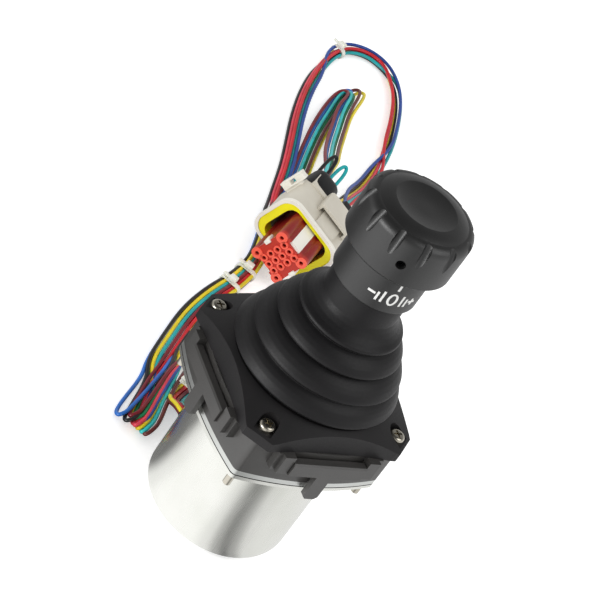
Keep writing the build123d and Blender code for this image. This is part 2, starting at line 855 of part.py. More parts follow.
def make_board_cable():
    a = math.radians(exit_deg)
    def at(radius, z):
        return (radius * math.cos(a), radius * math.sin(a), z)
    path = [at(header_circle, board_z - header_h), at(header_circle, exit_z), at(can_radius + 1.0, exit_z)]
    return tube("board_cable", path, inner_cable_r)


def make_grommet():
    out = can_radius + 0.1
    body = at_exit(out, grommet_flange_t, grommet_flange_r)
    body = body + at_exit(out + grommet_flange_t, grommet_sleeve_l, grommet_neck_r, grommet_tip_r)
    body = body + at_exit(out - 4.0, 4.0, grommet_neck_r)
    body = body + at_exit(out - 5.8, 1.8, grommet_flange_r - 0.4)
    return body - at_exit(out - 8, 30, grommet_bore)


def trunk_points():
    """Out of the can, two folds beside it, then away to the splice."""
    z = trunk_z
    route = [
        (42.6, 35.0, 10), (43.6, 46, z), (41.8, 58, z), (40.8, 76, z), (41.0, 99, z), (49.0, 103.6, z),
        (57.0, 99, z), (56.0, 78, z), (53.4, 58, z), (49.8, 38, z), (47.0, 12, z), (55.0, 7.4, z),
        (63.0, 12, z), (63.2, 34, z), (64.0, 58, z), (66.0, 82, z), (67.6, 108, z), (66.5, 134, z),
        (64.6, 160, z), (65.4, 184, z), (splice_left - 2.0, 206, z), (splice_left, splice_away + 0.5, z),
    ]
    start = exit_place(can_radius + grommet_flange_t + 0.5).origin
    knee = exit_place(can_radius + 12.0).origin
    return [start, knee] + [floor_point(*p) for p in route]


def loop_points():
    """Outer loop, from the splice to the right hole of the connector's cover."""
    z = branch_z
    route = [
        (splice_left + 3.2, splice_away + splice_l - 0.5, z), (76.0, 254, z), (80.0, 278, z), (87.0, 302, z),
        (95.0, 328, z), (101.5, 356, z), (105.5, 384, z), (106.5, 408, z), (102.0, 426, z), (91.0, 436, z),
        (78.0, 436, z), (66.0, 427, z), (56.5, 410, z), (49.0, 386, z), (42.8, 358, z),
        (39.0, 330, z), (38.6, 304, 5.5), (41.0, 280, 11.0),
    ]
    return [floor_point(*p) for p in route] + [con_rear(7, 14, 0), con_rear(7, -3.8, 0)]


def hairpin_points():
    """Inner hairpin, from the splice to the left hole of the connector's cover."""
    z = branch_z
    route = [
        (splice_left - 3.2, splice_away + splice_l - 0.5, z), (69.0, 256, z), (75.0, 280, z), (81.0, 306, z),
        (86.0, 332, z), (88.4, 356, z), (88.6, 382, z), (80.0, 387, z), (71.4, 382, z), (70.6, 360, z),
        (68.0, 336, 6.0), (64.0, 312, 10.0), (60.0, 288, 16.0),
    ]
    return [floor_point(*p) for p in route] + [con_rear(-7, 16, 0), con_rear(-7, -3.8, 0)]


def make_splice():
    """Flat sleeve in which the trunk divides into the loop and the hairpin."""
    origin = floor_point(splice_left, splice_away, trunk_z)
    base = Plane(origin=origin, x_dir=floor_point(-1, 0, 0), z_dir=(0, 0, 1))
    face = RectangleRounded(splice_w, splice_h, 3.0)
    flat = Plane(origin=(0, 0, 0), x_dir=(1, 0, 0), z_dir=(0, 1, 0))
    body = extrude(flat * face, splice_l)
    body = body - Pos(0, 1.2, 0) * Rot(90, 0, 0) * Cylinder(trunk_r + fit_gap, 4, align=UP)
    rise = branch_z - trunk_z
    for x in (-3.2, 3.2):
        body = body - Pos(x, splice_l - 1.2, rise) * Rot(-90, 0, 0) * Cylinder(branch_r + fit_gap, 4, align=UP)
    return base.location * body


# Connector, in its own frame: X to the right seen from its face, Y to the rear, Z up

def con_place():
    away = floor_point(0, 1, 0)
    right = floor_point(-1, 0, 0)
    origin = floor_point(con_left, con_away, con_rise)
    base = Plane(origin=origin, x_dir=right, z_dir=(0, 0, 1))
    return base.location * Rot(0, con_roll, 0) * Rot(con_pitch, 0, 0)


def con_prism(w, h, r, y0, y1):
    """Rounded rectangle from y0 to y1 on the connector's axis."""
    face = RectangleRounded(w, h, r)
    return extrude(Plane(origin=(0, y0, 0), x_dir=(1, 0, 0), z_dir=(0, 1, 0)) * face, y1 - y0)


def make_con_housing():
    """Rounded shell with a latch cage on top and a slotted tab behind."""
    y0 = con_face_out
    y1 = y0 + con_l
    top = con_h / 2
    low = (Align.MIN, Align.MAX, Align.MIN)
    up = (Align.CENTER, Align.MAX, Align.MIN)
    body = con_prism(con_w, con_h, con_round, y0, y1)
    body = chamfer(body.faces().sort_by(Axis.Y)[0].edges(), 0.5)
    cage = Pos(cage_shift, y1 - 1, top - 1) * Box(cage_w, cage_l, cage_h + 1, align=up)
    cage = fillet(cage.edges().filter_by(Axis.Y).sort_by(Axis.Z)[-2:], 2.0)
    room = Pos(cage_shift, y1, top) * Box(cage_w - 2 * cage_wall, cage_l + 3, cage_h - cage_wall, align=up)
    lever = Pos(cage_shift, y1 - 3, top - 0.5) * Box(lever_w, lever_l, lever_t + 0.5, align=up)
    lever = chamfer(lever.faces().sort_by(Axis.Y)[0].edges().sort_by(Axis.Z)[-1], 1.2)
    tab = Pos(3 - con_w / 2, y1 + tab_l / 2, cover_h / 2 + 0.3) * Box(tab_w, tab_l, tab_t, align=low)
    slot = Pos(3 - con_w / 2 + (tab_w - tab_slot_w) / 2, y1 + tab_l / 2 - tab_slot_t, cover_h / 2) * Box(
        tab_slot_w, tab_slot_t, 2 * tab_t, align=low)
    body = body + (cage - room) + lever + (tab - slot)
    w = con_w - 2 * con_wall
    h = con_h - 2 * con_wall
    body = body - con_prism(w, h, con_round - con_wall, y0 - 1, y1 - con_back)
    seat = con_prism(core_w + 0.1, core_h + 0.1, core_round, y1 - con_back - 1, y1 - con_back + insert_seat)
    return body - seat


def make_con_seal():
    """Ring seal just inside the mouth of the housing."""
    y0 = con_face_out + seal_set_back
    w = con_w - 2 * con_wall - 0.1
    h = con_h - 2 * con_wall - 0.1
    ring = con_prism(w, h, con_round - con_wall, y0, y0 + seal_l)
    inner = con_round - con_wall - seal_t
    return ring - con_prism(w - 2 * seal_t, h - 2 * seal_t, inner, y0 - 1, y0 + seal_l + 1)


def insert_lobe(i, j, y0, y1):
    return rod_y(lobe_r, y0, y1, i * lobe_x, j * lobe_z)


def make_con_insert():
    """Core with a round lobe at each corner, key flats on two sides and rows of contact cavities."""
    rear = con_face_out + con_l - con_back
    body = con_prism(core_w, core_h, core_round, 0, rear + insert_seat - 0.1)
    body = body + con_prism(insert_w - core_round, 2 * lobe_z - lobe_r, core_round, 0, rear - 0.2)
    for i in (-1, 1):
        for j in (-1, 1):
            body = body + insert_lobe(i, j, 0, rear - 0.2)
            body = body - rod_y(cavity_r, -1, cavity_depth, i * lobe_x, j * lobe_z)
    for j in (-1, 1):
        key = Box(key_w, key_t, key_t, align=(Align.CENTER, Align.MIN, Align.CENTER))
        body = body - Pos(0, -1, j * core_h / 2) * key
    for i in range(3):
        for j in range(4):
            x = (i - 1) * cavity_pitch_x
            z = (j - 1.5) * cavity_pitch_z
            body = body - rod_y(cavity_r, -1, cavity_depth, x, z)
            notch = Box(cavity_r, cavity_depth, 1.6 * cavity_r, align=(Align.CENTER, Align.MIN, Align.MIN))
            body = body - Pos(x, -1, z) * notch
    return body


def make_con_cover():
    y = con_face_out + con_l + 0.02
    body = con_prism(cover_w, cover_h, 5.0, y, y + cover_l)
    for x in (-7.0, 7.0):
        body = body - rod_y(branch_r + 0.1, y + cover_l - 4, y + cover_l + 1, x, 0)
    return body


def con_rear(x, y, z):
    """Point of the connector's frame behind the cover, in the part's frame."""
    place = con_place() * Pos(x, con_face_out + con_l + cover_l + y, z)
    return place.position


def tie_on(points, index, radius, part=0.5):
    """Cable tie round a tube, part of the way along one of its runs, with its head on top."""
    a = Vector(points[index])
    b = Vector(points[index + 1])
    along = (b - a).normalized()
    centre = a + (b - a) * part
    side = along.cross(Vector(0, 0, 1)).normalized()
    top = side.cross(along)
    place = Plane(origin=centre - along * (tie_w / 2), x_dir=top, z_dir=along).location
    band = Cylinder(radius + 0.05 + tie_t, tie_w, align=UP) - Cylinder(radius + 0.05, 3 * tie_w)
    head = Pos(radius + 0.05 + tie_head / 2, 0, tie_w / 2) * Box(tie_head, tie_head_w, tie_w + 1.4)
    head = head - Cylinder(radius + 0.05, 5 * tie_w)
    return place * (band + head)


def write(name, pieces):
    if isinstance(pieces, list):
        pieces = Compound(children=[p.solid() if len(p.solids()) == 1 else p for p in pieces])
    export_step(pieces, "parts/" + name + ".step")


def main():
    write("can", make_can())
    write("can_gasket", make_gasket())
    write("flange_plate", make_flange_plate())
    write("mid_housing", make_housing())
    write("boot_bezel", make_bezel())
    write("flange_screws", corners(make_screw()))
    latch = make_latch()
    for name, turn in (("latch_front", 0), ("latch_right", 90), ("latch_rear", 180), ("latch_left", 270)):
        write(name, Rot(0, 0, turn) * latch)
    write("bearing_frame", make_frame())
    write("frame_screws", make_frame_screws())
    write("frame_bushes", make_frame_bushes())
    write("gimbal_ring", make_ring())
    write("ring_pins", make_ring_pins())
    write("ring_bushes", make_ring_bushes())
    write("cross_pin", make_cross_pin())
    write("stick_shaft", make_shaft())
    write("magnet_holder", make_holder())
    write("magnet", make_magnet())
    write("spring_plate", make_spring_plate())
    write("centring_spring", make_spring())
    write("spring_cap", make_cap())
    write("spring_clip", make_clip())
    write("bellows", make_bellows())
    write("boot_clamp", make_boot_clamp())
    write("collar", make_collar())
    write("stop_pin", make_stop_pin())
    write("twist_sensor", make_sensor())
    write("sensor_shaft", make_sensor_shaft())
    write("knob", make_knob())
    write("knob_grub_screw", make_grub())
    write("twist_spring", make_twist_spring())
    write("circuit_board", make_board())
    write("board_pillars", make_pillars())
    write("board_screws", make_board_screws())
    write("sensor_chips", make_chips())
    write("board_header", make_header())
    write("board_cable", make_board_cable())
    write("cable_grommet", make_grommet())
    trunk = trunk_points()
    loop = loop_points()
    hairpin = hairpin_points()
    write("harness_trunk", tube("harness_trunk", trunk, trunk_r))
    write("harness_splice", make_splice())
    write("harness_loop", tube("harness_loop", loop, branch_r))
    write("harness_hairpin", tube("harness_hairpin", hairpin, branch_r))
    write("cable_tie_low", tie_on(trunk, 3, trunk_r))
    write("cable_tie_near", tie_on(trunk, 19, trunk_r, 0.65))
    write("cable_tie_far", tie_on(trunk, 20, trunk_r, 0.37))
    write("cable_tie_top", tie_on(loop, 7, branch_r))
    place = con_place()
    write("connector_housing", place * make_con_housing())
    write("connector_seal", place * make_con_seal())
    write("connector_insert", place * make_con_insert())
    write("connector_cover", place * make_con_cover())


main()
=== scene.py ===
"""Looks of an industrial joystick: finishes, loose harness wires, rubber bellows and studio."""

import json
import math

import bmesh
import bpy
from mathutils import Matrix, Quaternion, Vector

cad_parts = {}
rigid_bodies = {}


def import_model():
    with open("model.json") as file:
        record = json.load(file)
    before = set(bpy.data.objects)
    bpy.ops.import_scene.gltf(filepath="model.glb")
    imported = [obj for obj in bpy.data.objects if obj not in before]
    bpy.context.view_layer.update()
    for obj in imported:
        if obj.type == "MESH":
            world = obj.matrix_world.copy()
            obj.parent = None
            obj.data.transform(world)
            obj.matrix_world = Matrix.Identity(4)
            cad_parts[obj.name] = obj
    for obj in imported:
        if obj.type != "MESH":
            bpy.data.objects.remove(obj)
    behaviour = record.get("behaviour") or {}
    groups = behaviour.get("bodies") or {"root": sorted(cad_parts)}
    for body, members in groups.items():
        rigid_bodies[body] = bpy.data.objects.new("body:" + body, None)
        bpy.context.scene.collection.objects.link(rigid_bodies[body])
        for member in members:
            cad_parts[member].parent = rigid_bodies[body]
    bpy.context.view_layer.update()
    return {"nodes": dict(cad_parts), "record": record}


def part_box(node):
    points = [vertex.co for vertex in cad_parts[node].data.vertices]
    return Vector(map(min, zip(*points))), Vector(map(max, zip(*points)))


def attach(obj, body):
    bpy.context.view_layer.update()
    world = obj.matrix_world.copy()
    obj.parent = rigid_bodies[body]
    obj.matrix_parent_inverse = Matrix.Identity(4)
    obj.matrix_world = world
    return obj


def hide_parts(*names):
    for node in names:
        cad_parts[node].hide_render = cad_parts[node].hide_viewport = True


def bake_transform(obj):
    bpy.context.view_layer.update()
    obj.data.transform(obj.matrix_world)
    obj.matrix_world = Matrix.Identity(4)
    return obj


bl_info = {
    "name": "Joystick Dresser",
    "version": (1, 0, 0),
    "blender": (4, 5, 0),
    "location": "3D View > Sidebar > Joystick",
    "description": "Dresses a packed panel joystick with finishes, wires, bellows and a studio",
    "category": "Object",
}

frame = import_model()
SLOT_OF = {part["node"]: part["material_slot"] for part in frame["record"]["subparts"]}
MM = 0.001
UP = Vector((0, 0, 1))
ROOT_HALF = math.sqrt(0.5)

# Camera, from the fit of the rings, the bezel and the can
CAMERA_PLACE = Vector((-653.4, -663.3, 787.1)) * MM
CAMERA_AIM = Vector((-6.42, 25.11, 118.88)) * MM
CAMERA_ROLL = math.radians(35.15)
CAMERA_LENS = 150.0
CAMERA_SENSOR = 36.0


def floor_point(left, away, height):
    """A point from its distances left of and behind the stick, seen from the front corner, in mm."""
    return Vector(((away - left) * ROOT_HALF, (away + left) * ROOT_HALF, height)) * MM


def linear(hex_colour):
    """Linear RGBA from an sRGB hex string."""
    channels = [int(hex_colour[i:i + 2], 16) / 255 for i in (1, 3, 5)]
    values = [c / 12.92 if c <= 0.04045 else ((c + 0.055) / 1.055) ** 2.4 for c in channels]
    return (*values, 1.0)


def add_node(tree, kind, links=None, **values):
    """Adds a shader node, sets its properties and sockets, and links its inputs."""
    node = tree.nodes.new("ShaderNode" + kind)
    for name, value in values.items():
        if hasattr(node, name):
            setattr(node, name, value)
        else:
            node.inputs[name.replace("_", " ")].default_value = value
    for name, socket in (links or {}).items():
        tree.links.new(socket, node.inputs[name])
    return node


def new_material(name):
    """A new material with its node tree, its shader and the object's coordinates."""
    material = bpy.data.materials.new(name)
    material.use_nodes = True
    tree = material.node_tree
    shader = tree.nodes["Principled BSDF"]
    where = tree.nodes.new("ShaderNodeTexCoord").outputs["Object"]
    return material, tree, shader, where


def mottle(tree, shader, cloud, colour_a, colour_b):
    """Base colour that wanders between two with a noise."""
    shade = tint(tree, remap(tree, cloud, 0.0, 1.0), colour_a, colour_b)
    tree.links.new(shade, shader.inputs["Base Color"])


def tint(tree, factor, colour_a, colour_b):
    mix = add_node(tree, "Mix", data_type="RGBA")
    mix.inputs["A"].default_value = colour_a
    mix.inputs["B"].default_value = colour_b
    tree.links.new(factor, mix.inputs["Factor"])
    return mix.outputs["Result"]


def remap(tree, value, low, high, from_low=0.3, from_high=0.7):
    """A value carried from one range to another; a noise keeps between 0.3 and 0.7."""
    node = add_node(tree, "MapRange", {"Value": value}, From_Min=from_low, From_Max=from_high,
                    To_Min=low, To_Max=high)
    return node.outputs["Result"]


def grain(tree, where, scale, detail=3.0):
    """Soft noise on the object, with this many grains to a metre or so."""
    node = add_node(tree, "TexNoise", {"Vector": where}, Scale=scale, Detail=detail)
    return node.outputs["Fac"]


def relief(tree, shader, height, strength, distance):
    """Lets a height stand out of the surface by at most a distance in metres."""
    bump = add_node(tree, "Bump", {"Height": height}, Strength=strength, Distance=distance)
    tree.links.new(bump.outputs["Normal"], shader.inputs["Normal"])


def moulding(name, hex_colour, hex_other, rough, texture=1400.0, depth=0.00004, gloss=0.5):
    """Moulded plastic or rubber with a fine grain and slight mottling."""
    material, tree, shader, where = new_material(name)
    mottle(tree, shader, grain(tree, where, 60.0, 4.0), linear(hex_colour), linear(hex_other))
    fine = grain(tree, where, texture, 2.0)
    tree.links.new(remap(tree, fine, rough - 0.05, rough + 0.05), shader.inputs["Roughness"])
    relief(tree, shader, fine, 0.35, depth)
    shader.inputs["Specular IOR Level"].default_value = gloss
    return material


def metal(name, hex_colour, hex_other, rough, stretch=(1.0, 1.0, 0.04), scale=900.0, depth=0.00001):
    """Drawn, turned or plated metal with fine marks along one direction."""
    material, tree, shader, where = new_material(name)
    mapping = add_node(tree, "Mapping", {"Vector": where})
    mapping.inputs["Scale"].default_value = stretch
    marks = grain(tree, mapping.outputs["Vector"], scale, 4.0)
    mottle(tree, shader, grain(tree, where, 35.0), linear(hex_colour), linear(hex_other))
    tree.links.new(remap(tree, marks, rough - 0.06, rough + 0.08), shader.inputs["Roughness"])
    relief(tree, shader, marks, 0.15, depth)
    shader.inputs["Metallic"].default_value = 1.0
    return material


def drawn_zinc():
    """Pale drawn steel whose faint upright streaks soften what it mirrors."""
    return metal("drawn_zinc", "#f1f1ec", "#e8e9e2", 0.24, (1.0, 1.0, 0.12), 260.0, 0.000004)


def wire_colour(name, hex_colour):
    """Glossy insulation, slightly darker in patches, with shallow draw marks."""
    material, tree, shader, where = new_material("insulation_" + name)
    base = linear(hex_colour)
    dark = (base[0] * 0.72, base[1] * 0.72, base[2] * 0.72, 1.0)
    mottle(tree, shader, grain(tree, where, 90.0, 2.0), base, dark)
    shader.inputs["Roughness"].default_value = 0.34
    shader.inputs["Coat Weight"].default_value = 0.25
    shader.inputs["Coat Roughness"].default_value = 0.2
    relief(tree, shader, grain(tree, where, 700.0, 2.0), 0.2, 0.00003)
    return material


def nylon():
    """Milky nylon that lets a little light in, so the ties look white against the wires."""
    material, tree, shader, where = new_material("natural_nylon")
    cloud = grain(tree, where, 200.0, 2.0)
    mottle(tree, shader, cloud, linear("#f4f5ec"), linear("#e6e8dc"))
    shader.inputs["Roughness"].default_value = 0.38
    shader.inputs["Subsurface Weight"].default_value = 0.35
    shader.inputs["Subsurface Radius"].default_value = (1.0, 1.0, 0.8)
    shader.inputs["Subsurface Scale"].default_value = 0.001
    relief(tree, shader, cloud, 0.1, 0.00004)
    return material


# A finish for every material slot of the record, each with what it gives the eye
FINISHES = {
    # The brightest piece: a soft mirror of the floor's painted reflection, with one dark band from it
    "zinc_steel": drawn_zinc,
    # A dull black line between bright edges
    "gasket_rubber": lambda: moulding("gasket_sheet", "#161616", "#1d1c1c", 0.7, gloss=0.3),
    # A thin grey edge, duller than the can
    "plate_steel": lambda: metal("plate_steel", "#dfe1df", "#d2d4d0", 0.34, (1.0, 1.0, 0.2)),
    # Warm dark grey that shines where it faces the light
    "housing_plastic": lambda: moulding("housing_nylon", "#343331", "#3a3836", 0.4, 1500.0, gloss=1.0),
    # Finely grained black, flatter than the housing
    "bezel_plastic": lambda: moulding("bezel_nylon", "#1a191a", "#1f1d1e", 0.5, 1700.0, gloss=0.35),
    # Deep black rubber with only a soft line of light on each lip
    "boot_rubber": lambda: moulding("boot_rubber", "#131214", "#181718", 0.46, 1300.0, 0.00003, 0.34),
    # Satin charcoal that picks up a broad highlight
    "knob_plastic": lambda: moulding("knob_nylon", "#161616", "#1b1b1b", 0.42, 1900.0, 0.00005, 0.9),
    # Small bright heads with a warm tint
    "screw_steel": lambda: metal("screw_zinc", "#d8d3c6", "#bdb7a8", 0.2, (1.0, 1.0, 1.0), 500.0),
    # Pale machined metal
    "frame_aluminium": lambda: metal("frame_aluminium", "#cfd2d4", "#bfc3c6", 0.3),
    # Yellow-brown bearing metal
    "bush_bronze": lambda: metal("bush_bronze", "#b98a4a", "#9d7238", 0.36),
    # Ground steel, nearly a mirror, with marks round it
    "pin_steel": lambda: metal("ground_steel", "#d4d6d8", "#c4c7ca", 0.16, (1.0, 1.0, 8.0), 300.0),
    # Darker hardened wire
    "spring_steel": lambda: metal("spring_wire", "#a5a8ab", "#8d9093", 0.28),
    # Smooth nickel plating
    "magnet_metal": lambda: metal("magnet_nickel", "#c2c4c6", "#b1b3b5", 0.18),
    # Dark filled plastic
    "inner_plastic": lambda: moulding("inner_moulding", "#242427", "#2b2b2e", 0.5),
    # Glossy green lacquer
    "board_laminate": lambda: moulding("board_laminate", "#0d5a2c", "#116a35", 0.25, 800.0),
    # Black cable sheath
    "cable_sheath": lambda: moulding("sheath_black", "#1b1b1c", "#232324", 0.45),
    # Dull red, seen only if a tube of the harness is shown without its wires
    "wire_sheath": lambda: moulding("sheath_mixed", "#5a2222", "#6a2a2a", 0.45),
    # Black wrapping of the splice
    "sleeve_plastic": lambda: moulding("wrap_black", "#1a1a1a", "#222222", 0.5),
    "tie_nylon": nylon,
    # Warm light grey shell, slightly mottled
    "connector_body": lambda: moulding("connector_shell", "#d6d1c4", "#cbc5b7", 0.38, 1200.0),
    # The strongest colour of the picture, a clear yellow
    "seal_yellow": lambda: moulding("silicone_yellow", "#fffa18", "#fcf20e", 0.4, 900.0),
    # Orange red
    "insert_red": lambda: moulding("insert_red", "#ee4a32", "#e0402a", 0.36, 1200.0),
    # Satin black cover
    "cover_black": lambda: moulding("cover_black", "#1e1e1f", "#272728", 0.45, gloss=0.4),
}

WIRE_COLOURS = {
    "black": "#29292b",
    "brown": "#6e2a28",
    "maroon": "#8a1c2a",
    "red": "#dc1a28",
    "pink": "#ee4458",
    "yellow": "#ffe21a",
    "lemon": "#fbe62a",
    "green": "#10905a",
    "teal": "#14b4b8",
    "cyan": "#30d0d0",
    "blue": "#2c78d8",
    "navy": "#2450a8",
}

MADE = {}


def finish_for(slot):
    """The material of a record slot, made once."""
    if slot not in MADE:
        MADE[slot] = FINISHES[slot]()
    return MADE[slot]


def put_on(obj, material):
    obj.data.materials.clear()
    obj.data.materials.append(material)


# Edges sharper than this stay crisp on pieces with flat sides
CRISP_EDGE = math.radians(32)


def piece_from(mesh, name, material, body, replaces=(), smooth=True):
    """Turns a bmesh into a named piece that rides on a body."""
    bmesh.ops.recalc_face_normals(mesh, faces=mesh.faces)
    data = bpy.data.meshes.new(name)
    mesh.to_mesh(data)
    mesh.free()
    for face in data.polygons:
        face.use_smooth = True
    if not smooth:
        data.set_sharp_from_angle(angle=CRISP_EDGE)
    obj = bpy.data.objects.new(name, data)
    bpy.context.scene.collection.objects.link(obj)
    put_on(obj, material)
    if body:
        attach(obj, body)
    if replaces:
        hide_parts(*replaces)
    return obj


# Harness: the route's points, in mm left of and behind the stick, and above the floor

EXIT_DEG = 98.1
EXIT_HEIGHT = 14.0
CAN_RADIUS = 37.6
# How far out of the can's wall the wires start and lie free, and how closely they are packed
EXIT_START = 7.0
EXIT_FREE = 13.0
EXIT_PACK_SIDE = 0.55
EXIT_PACK_RISE = 0.8
WIRE_PITCH = 2.2
FIRST_ROW = 1.2
ROW_RISE = 1.95

# The run away from the can and back
FIRST_RUN = [(42.6, 35.0, 6), (43.6, 46, 0), (41.8, 58, 0), (40.8, 76, 0), (41.0, 99, 0),
             (49.0, 103.6, 0), (57.0, 99, 0), (56.0, 78, 0)]
# The run from the folds to the splice, and how far the flat bundle closes up on the way
SECOND_RUN = [(64.0, 58, 0), (66.0, 82, 0), (67.6, 108, 0), (65.4, 134, 0), (60.6, 158, 0),
              (59.4, 182, 0), (64.4, 206, 0), (70.6, 226.5, 0)]
NARROWING = (1.0, 1.0, 1.0, 0.95, 0.85, 0.75, 0.68, 0.64)
NARROW_LIFT = 3.0
# The outer loop, and the inner hairpin on its way out and back
LOOP = [(73.0, 240.0, 0), (76.6, 256, 0), (81.4, 278, 0), (88.4, 302, 0), (96.2, 328, 0),
        (102.4, 356, 0), (105.5, 384, 0), (106.5, 408, 0), (102.0, 426, 0), (91.0, 436, 0),
        (78.0, 436, 0), (66.0, 427, 0), (56.5, 410, 0), (49.0, 386, 0), (42.8, 358, 0),
        (39.0, 330, 0), (38.6, 304, 2), (41.0, 280, 7)]
HAIRPIN_OUT = [(69.0, 238.0, 0), (68.6, 256, 0), (72.4, 280, 0), (77.4, 306, 0), (81.4, 332, 0),
               (83.4, 358, 0)]
HAIRPIN_BACK = [(76.6, 358, 1), (72.0, 336, 2), (67.6, 312, 5), (62.6, 288, 11)]

# The connector: its place, its roll and pitch, and how far behind its origin the wires enter
CON_LEFT = 49.4
CON_AWAY = 172.5
CON_RISE = 20.6
CON_ROLL = math.radians(20)
CON_PITCH = math.radians(2)
CON_REAR = 59.0


def connector_matrix():
    """The connector's own frame: X right seen from its face, Y to the rear, Z up."""
    right = floor_point(-1, 0, 0).normalized()
    away = floor_point(0, 1, 0).normalized()
    turn = Matrix((right, away, UP)).transposed().to_4x4()
    place = Matrix.Translation(floor_point(CON_LEFT, CON_AWAY, CON_RISE)) @ turn
    return place @ Matrix.Rotation(CON_ROLL, 4, "Y") @ Matrix.Rotation(CON_PITCH, 4, "X")


CONNECTOR = connector_matrix()


def con_point(x, y, z):
    """A point from its place in the connector's frame, in mm."""
    return CONNECTOR @ (Vector((x, y, z)) * MM)


def exit_point(out):
    """A point on the cable exit's axis, out of the can's wall, in mm."""
    angle = math.radians(EXIT_DEG)
    radius = CAN_RADIUS + out
    return Vector((radius * math.cos(angle), radius * math.sin(angle), EXIT_HEIGHT)) * MM


# Lanes across the flat bundle, outer side first: the row on top, which shows, and the row below it
TOP_ROW = ("black", "yellow", "teal", "maroon", "red", "lemon")
LOW_ROW = ("blue", "green", "cyan", "navy", "pink", "brown")
MIDDLE_LANE = 2.5


def bundle_lane(colour):
    """Lane and row of a wire in the flat bundle."""
    if colour in TOP_ROW:
        return TOP_ROW.index(colour), 1
    return LOW_ROW.index(colour), 0


def sideways(points, index):
    """Unit vector to the left of a route at one of its points, on the floor."""
    before = Vector(points[max(index - 1, 0)])
    after = Vector(points[min(index + 1, len(points) - 1)])
    along = (floor_point(*after) - floor_point(*before)).normalized()
    return UP.cross(along).normalized()


def laid(points, side, up):
    """A route's points moved sideways, by one offset or one for each point, and up, in mm."""
    out = []
    for index, (left, away, rise) in enumerate(points):
        shift = side[index] if isinstance(side, list) else side
        out.append(floor_point(left, away, rise + up) + sideways(points, index) * shift * MM)
    return out


# Each wire: colour, group, and its fold beside the can: places left of the stick of the near leg, of the
# tip, and of the far leg; last, how far behind the stick the tip is
WIRES = [
    ("blue", "hairpin", (59.4, 59.2, 59.8), 62.6, (65.6, 66.0), 9.6),
    ("black", "loop", (57.6, 55.4, 54.6), 57.6, (60.6, 63.2), 8.6),
    ("maroon", "hairpin", (57.4, 55.8, 55.0), 57.4, (59.8, 62.6), 12.4),
    ("lemon", "hairpin", (57.0, 55.0, 53.8), 56.2, (58.6, 62.0), 15.0),
    ("green", "hairpin", (56.6, 54.4, 52.6), 54.8, (57.2, 61.4), 13.0),
    ("pink", "loop", (55.6, 53.2, 50.6), 52.6, (55.0, 60.6), 8.6),
    ("red", "loop", (56.2, 53.8, 51.8), 54.0, (56.4, 61.2), 11.0),
    ("yellow", "loop", (54.8, 51.8, 48.8), 50.6, (53.0, 60.2), 9.0),
    ("navy", "loop", (54.4, 52.2, 49.8), 51.6, (54.2, 60.0), 12.0),
    ("teal", "loop", (53.6, 50.6, 47.4), 49.2, (51.6, 59.4), 10.8),
    ("cyan", "hairpin", (53.2, 50.0, 46.4), 48.0, (50.2, 59.0), 8.6),
    ("brown", "hairpin", (50.8, 47.8, 44.0), 46.0, (48.4, 58.0), 7.6),
]

# How far behind the stick a fold's legs run, and the rise from fold to fold
FOLD_NEAR = (60, 35, 17)
FOLD_FAR = (20, 45)
FOLD_RISE = 0.9
# Lanes of the loop's wires outwards of the route: left side, at the tie, right side, low right
LOOP_LANES = {
    "black": (3.2, -0.9, 1.2, -3.2),
    "pink": (1.9, 1.0, -1.8, 0.5),
    "red": (0.6, -0.5, -3.0, 3.8),
    "yellow": (-0.7, 2.2, -0.4, -1.2),
    "teal": (-2.0, -2.6, 3.4, 2.2),
    "navy": (-3.3, 3.5, 2.4, -4.2),
}
LOOP_SECTION = [0] * 7 + [1] * 4 + [2] * 4 + [3] * 3
LOOP_RISE = 0.9
# The hairpin's tips, outer lane first, and the sizes of the bend at each tip
HAIRPIN_TIPS = {
    "maroon": (84.6, 380.0),
    "blue": (83.4, 386.0),
    "cyan": (82.6, 381.0),
    "green": (81.0, 384.0),
    "brown": (79.4, 389.0),
    "lemon": (76.4, 392.6),
}
HAIRPIN_PITCH = 2.0
TIP_HALF = 3.4
TIP_BACK = 3
TIP_FRONT = 1.5
# Where a group's wires enter the connector: first entry, first wire behind it, and how far behind
ENTRIES = {"loop": (4.0, 4.4, 14.0), "hairpin": (-9.2, -9.8, 15.0)}
ENTRY_PITCH = (2.6, 5.0)
BEHIND_PITCH = (3.0, 4.0)
ENTRY_LOW = -2.5


def fold_points(number):
    """A wire's fold beside the can: the near leg lies over the far one."""
    near, tip, far, back = WIRES[number][2:]
    low = FIRST_ROW + FOLD_RISE * (number % 3)
    high = low + 2 * ROW_RISE
    route = [(left, away, high) for left, away in zip(near, FOLD_NEAR)]
    route += [(near[2] + 0.6, back + 1.0, high - 0.5), (tip, back - 2.4, (low + high) / 2),
              (far[0] - 0.9, back + 1.6, low)]
    route += [(left, away, low) for left, away in zip(far, FOLD_FAR)]
    return [floor_point(*place) for place in route]


def start_points(side, up):
    """The first two points of a wire, packed in the can's cable exit."""
    axis = (exit_point(EXIT_FREE) - exit_point(EXIT_START)).normalized()
    lift = UP * ((up - FIRST_ROW - ROW_RISE) * EXIT_PACK_RISE * MM)
    packed = UP.cross(axis) * (-side * EXIT_PACK_SIDE * MM) + lift
    return [exit_point(EXIT_START) + packed, exit_point(EXIT_FREE) + packed]


def splice_points(lane, side, up):
    """A wire's run to the splice; every other lane rises as the bundle closes up."""
    places = laid(SECOND_RUN, [side * part for part in NARROWING], up)
    rises = [(1 - part) * NARROW_LIFT * (lane % 2) * MM for part in NARROWING]
    return [place + UP * rise for place, rise in zip(places, rises)]


def loop_points(colour, order):
    """A wire's way round the outer loop, in its own lane."""
    shifts = [LOOP_LANES[colour][section] for section in LOOP_SECTION]
    return laid(LOOP, shifts, FIRST_ROW + ROW_RISE * (order % 3) * LOOP_RISE)


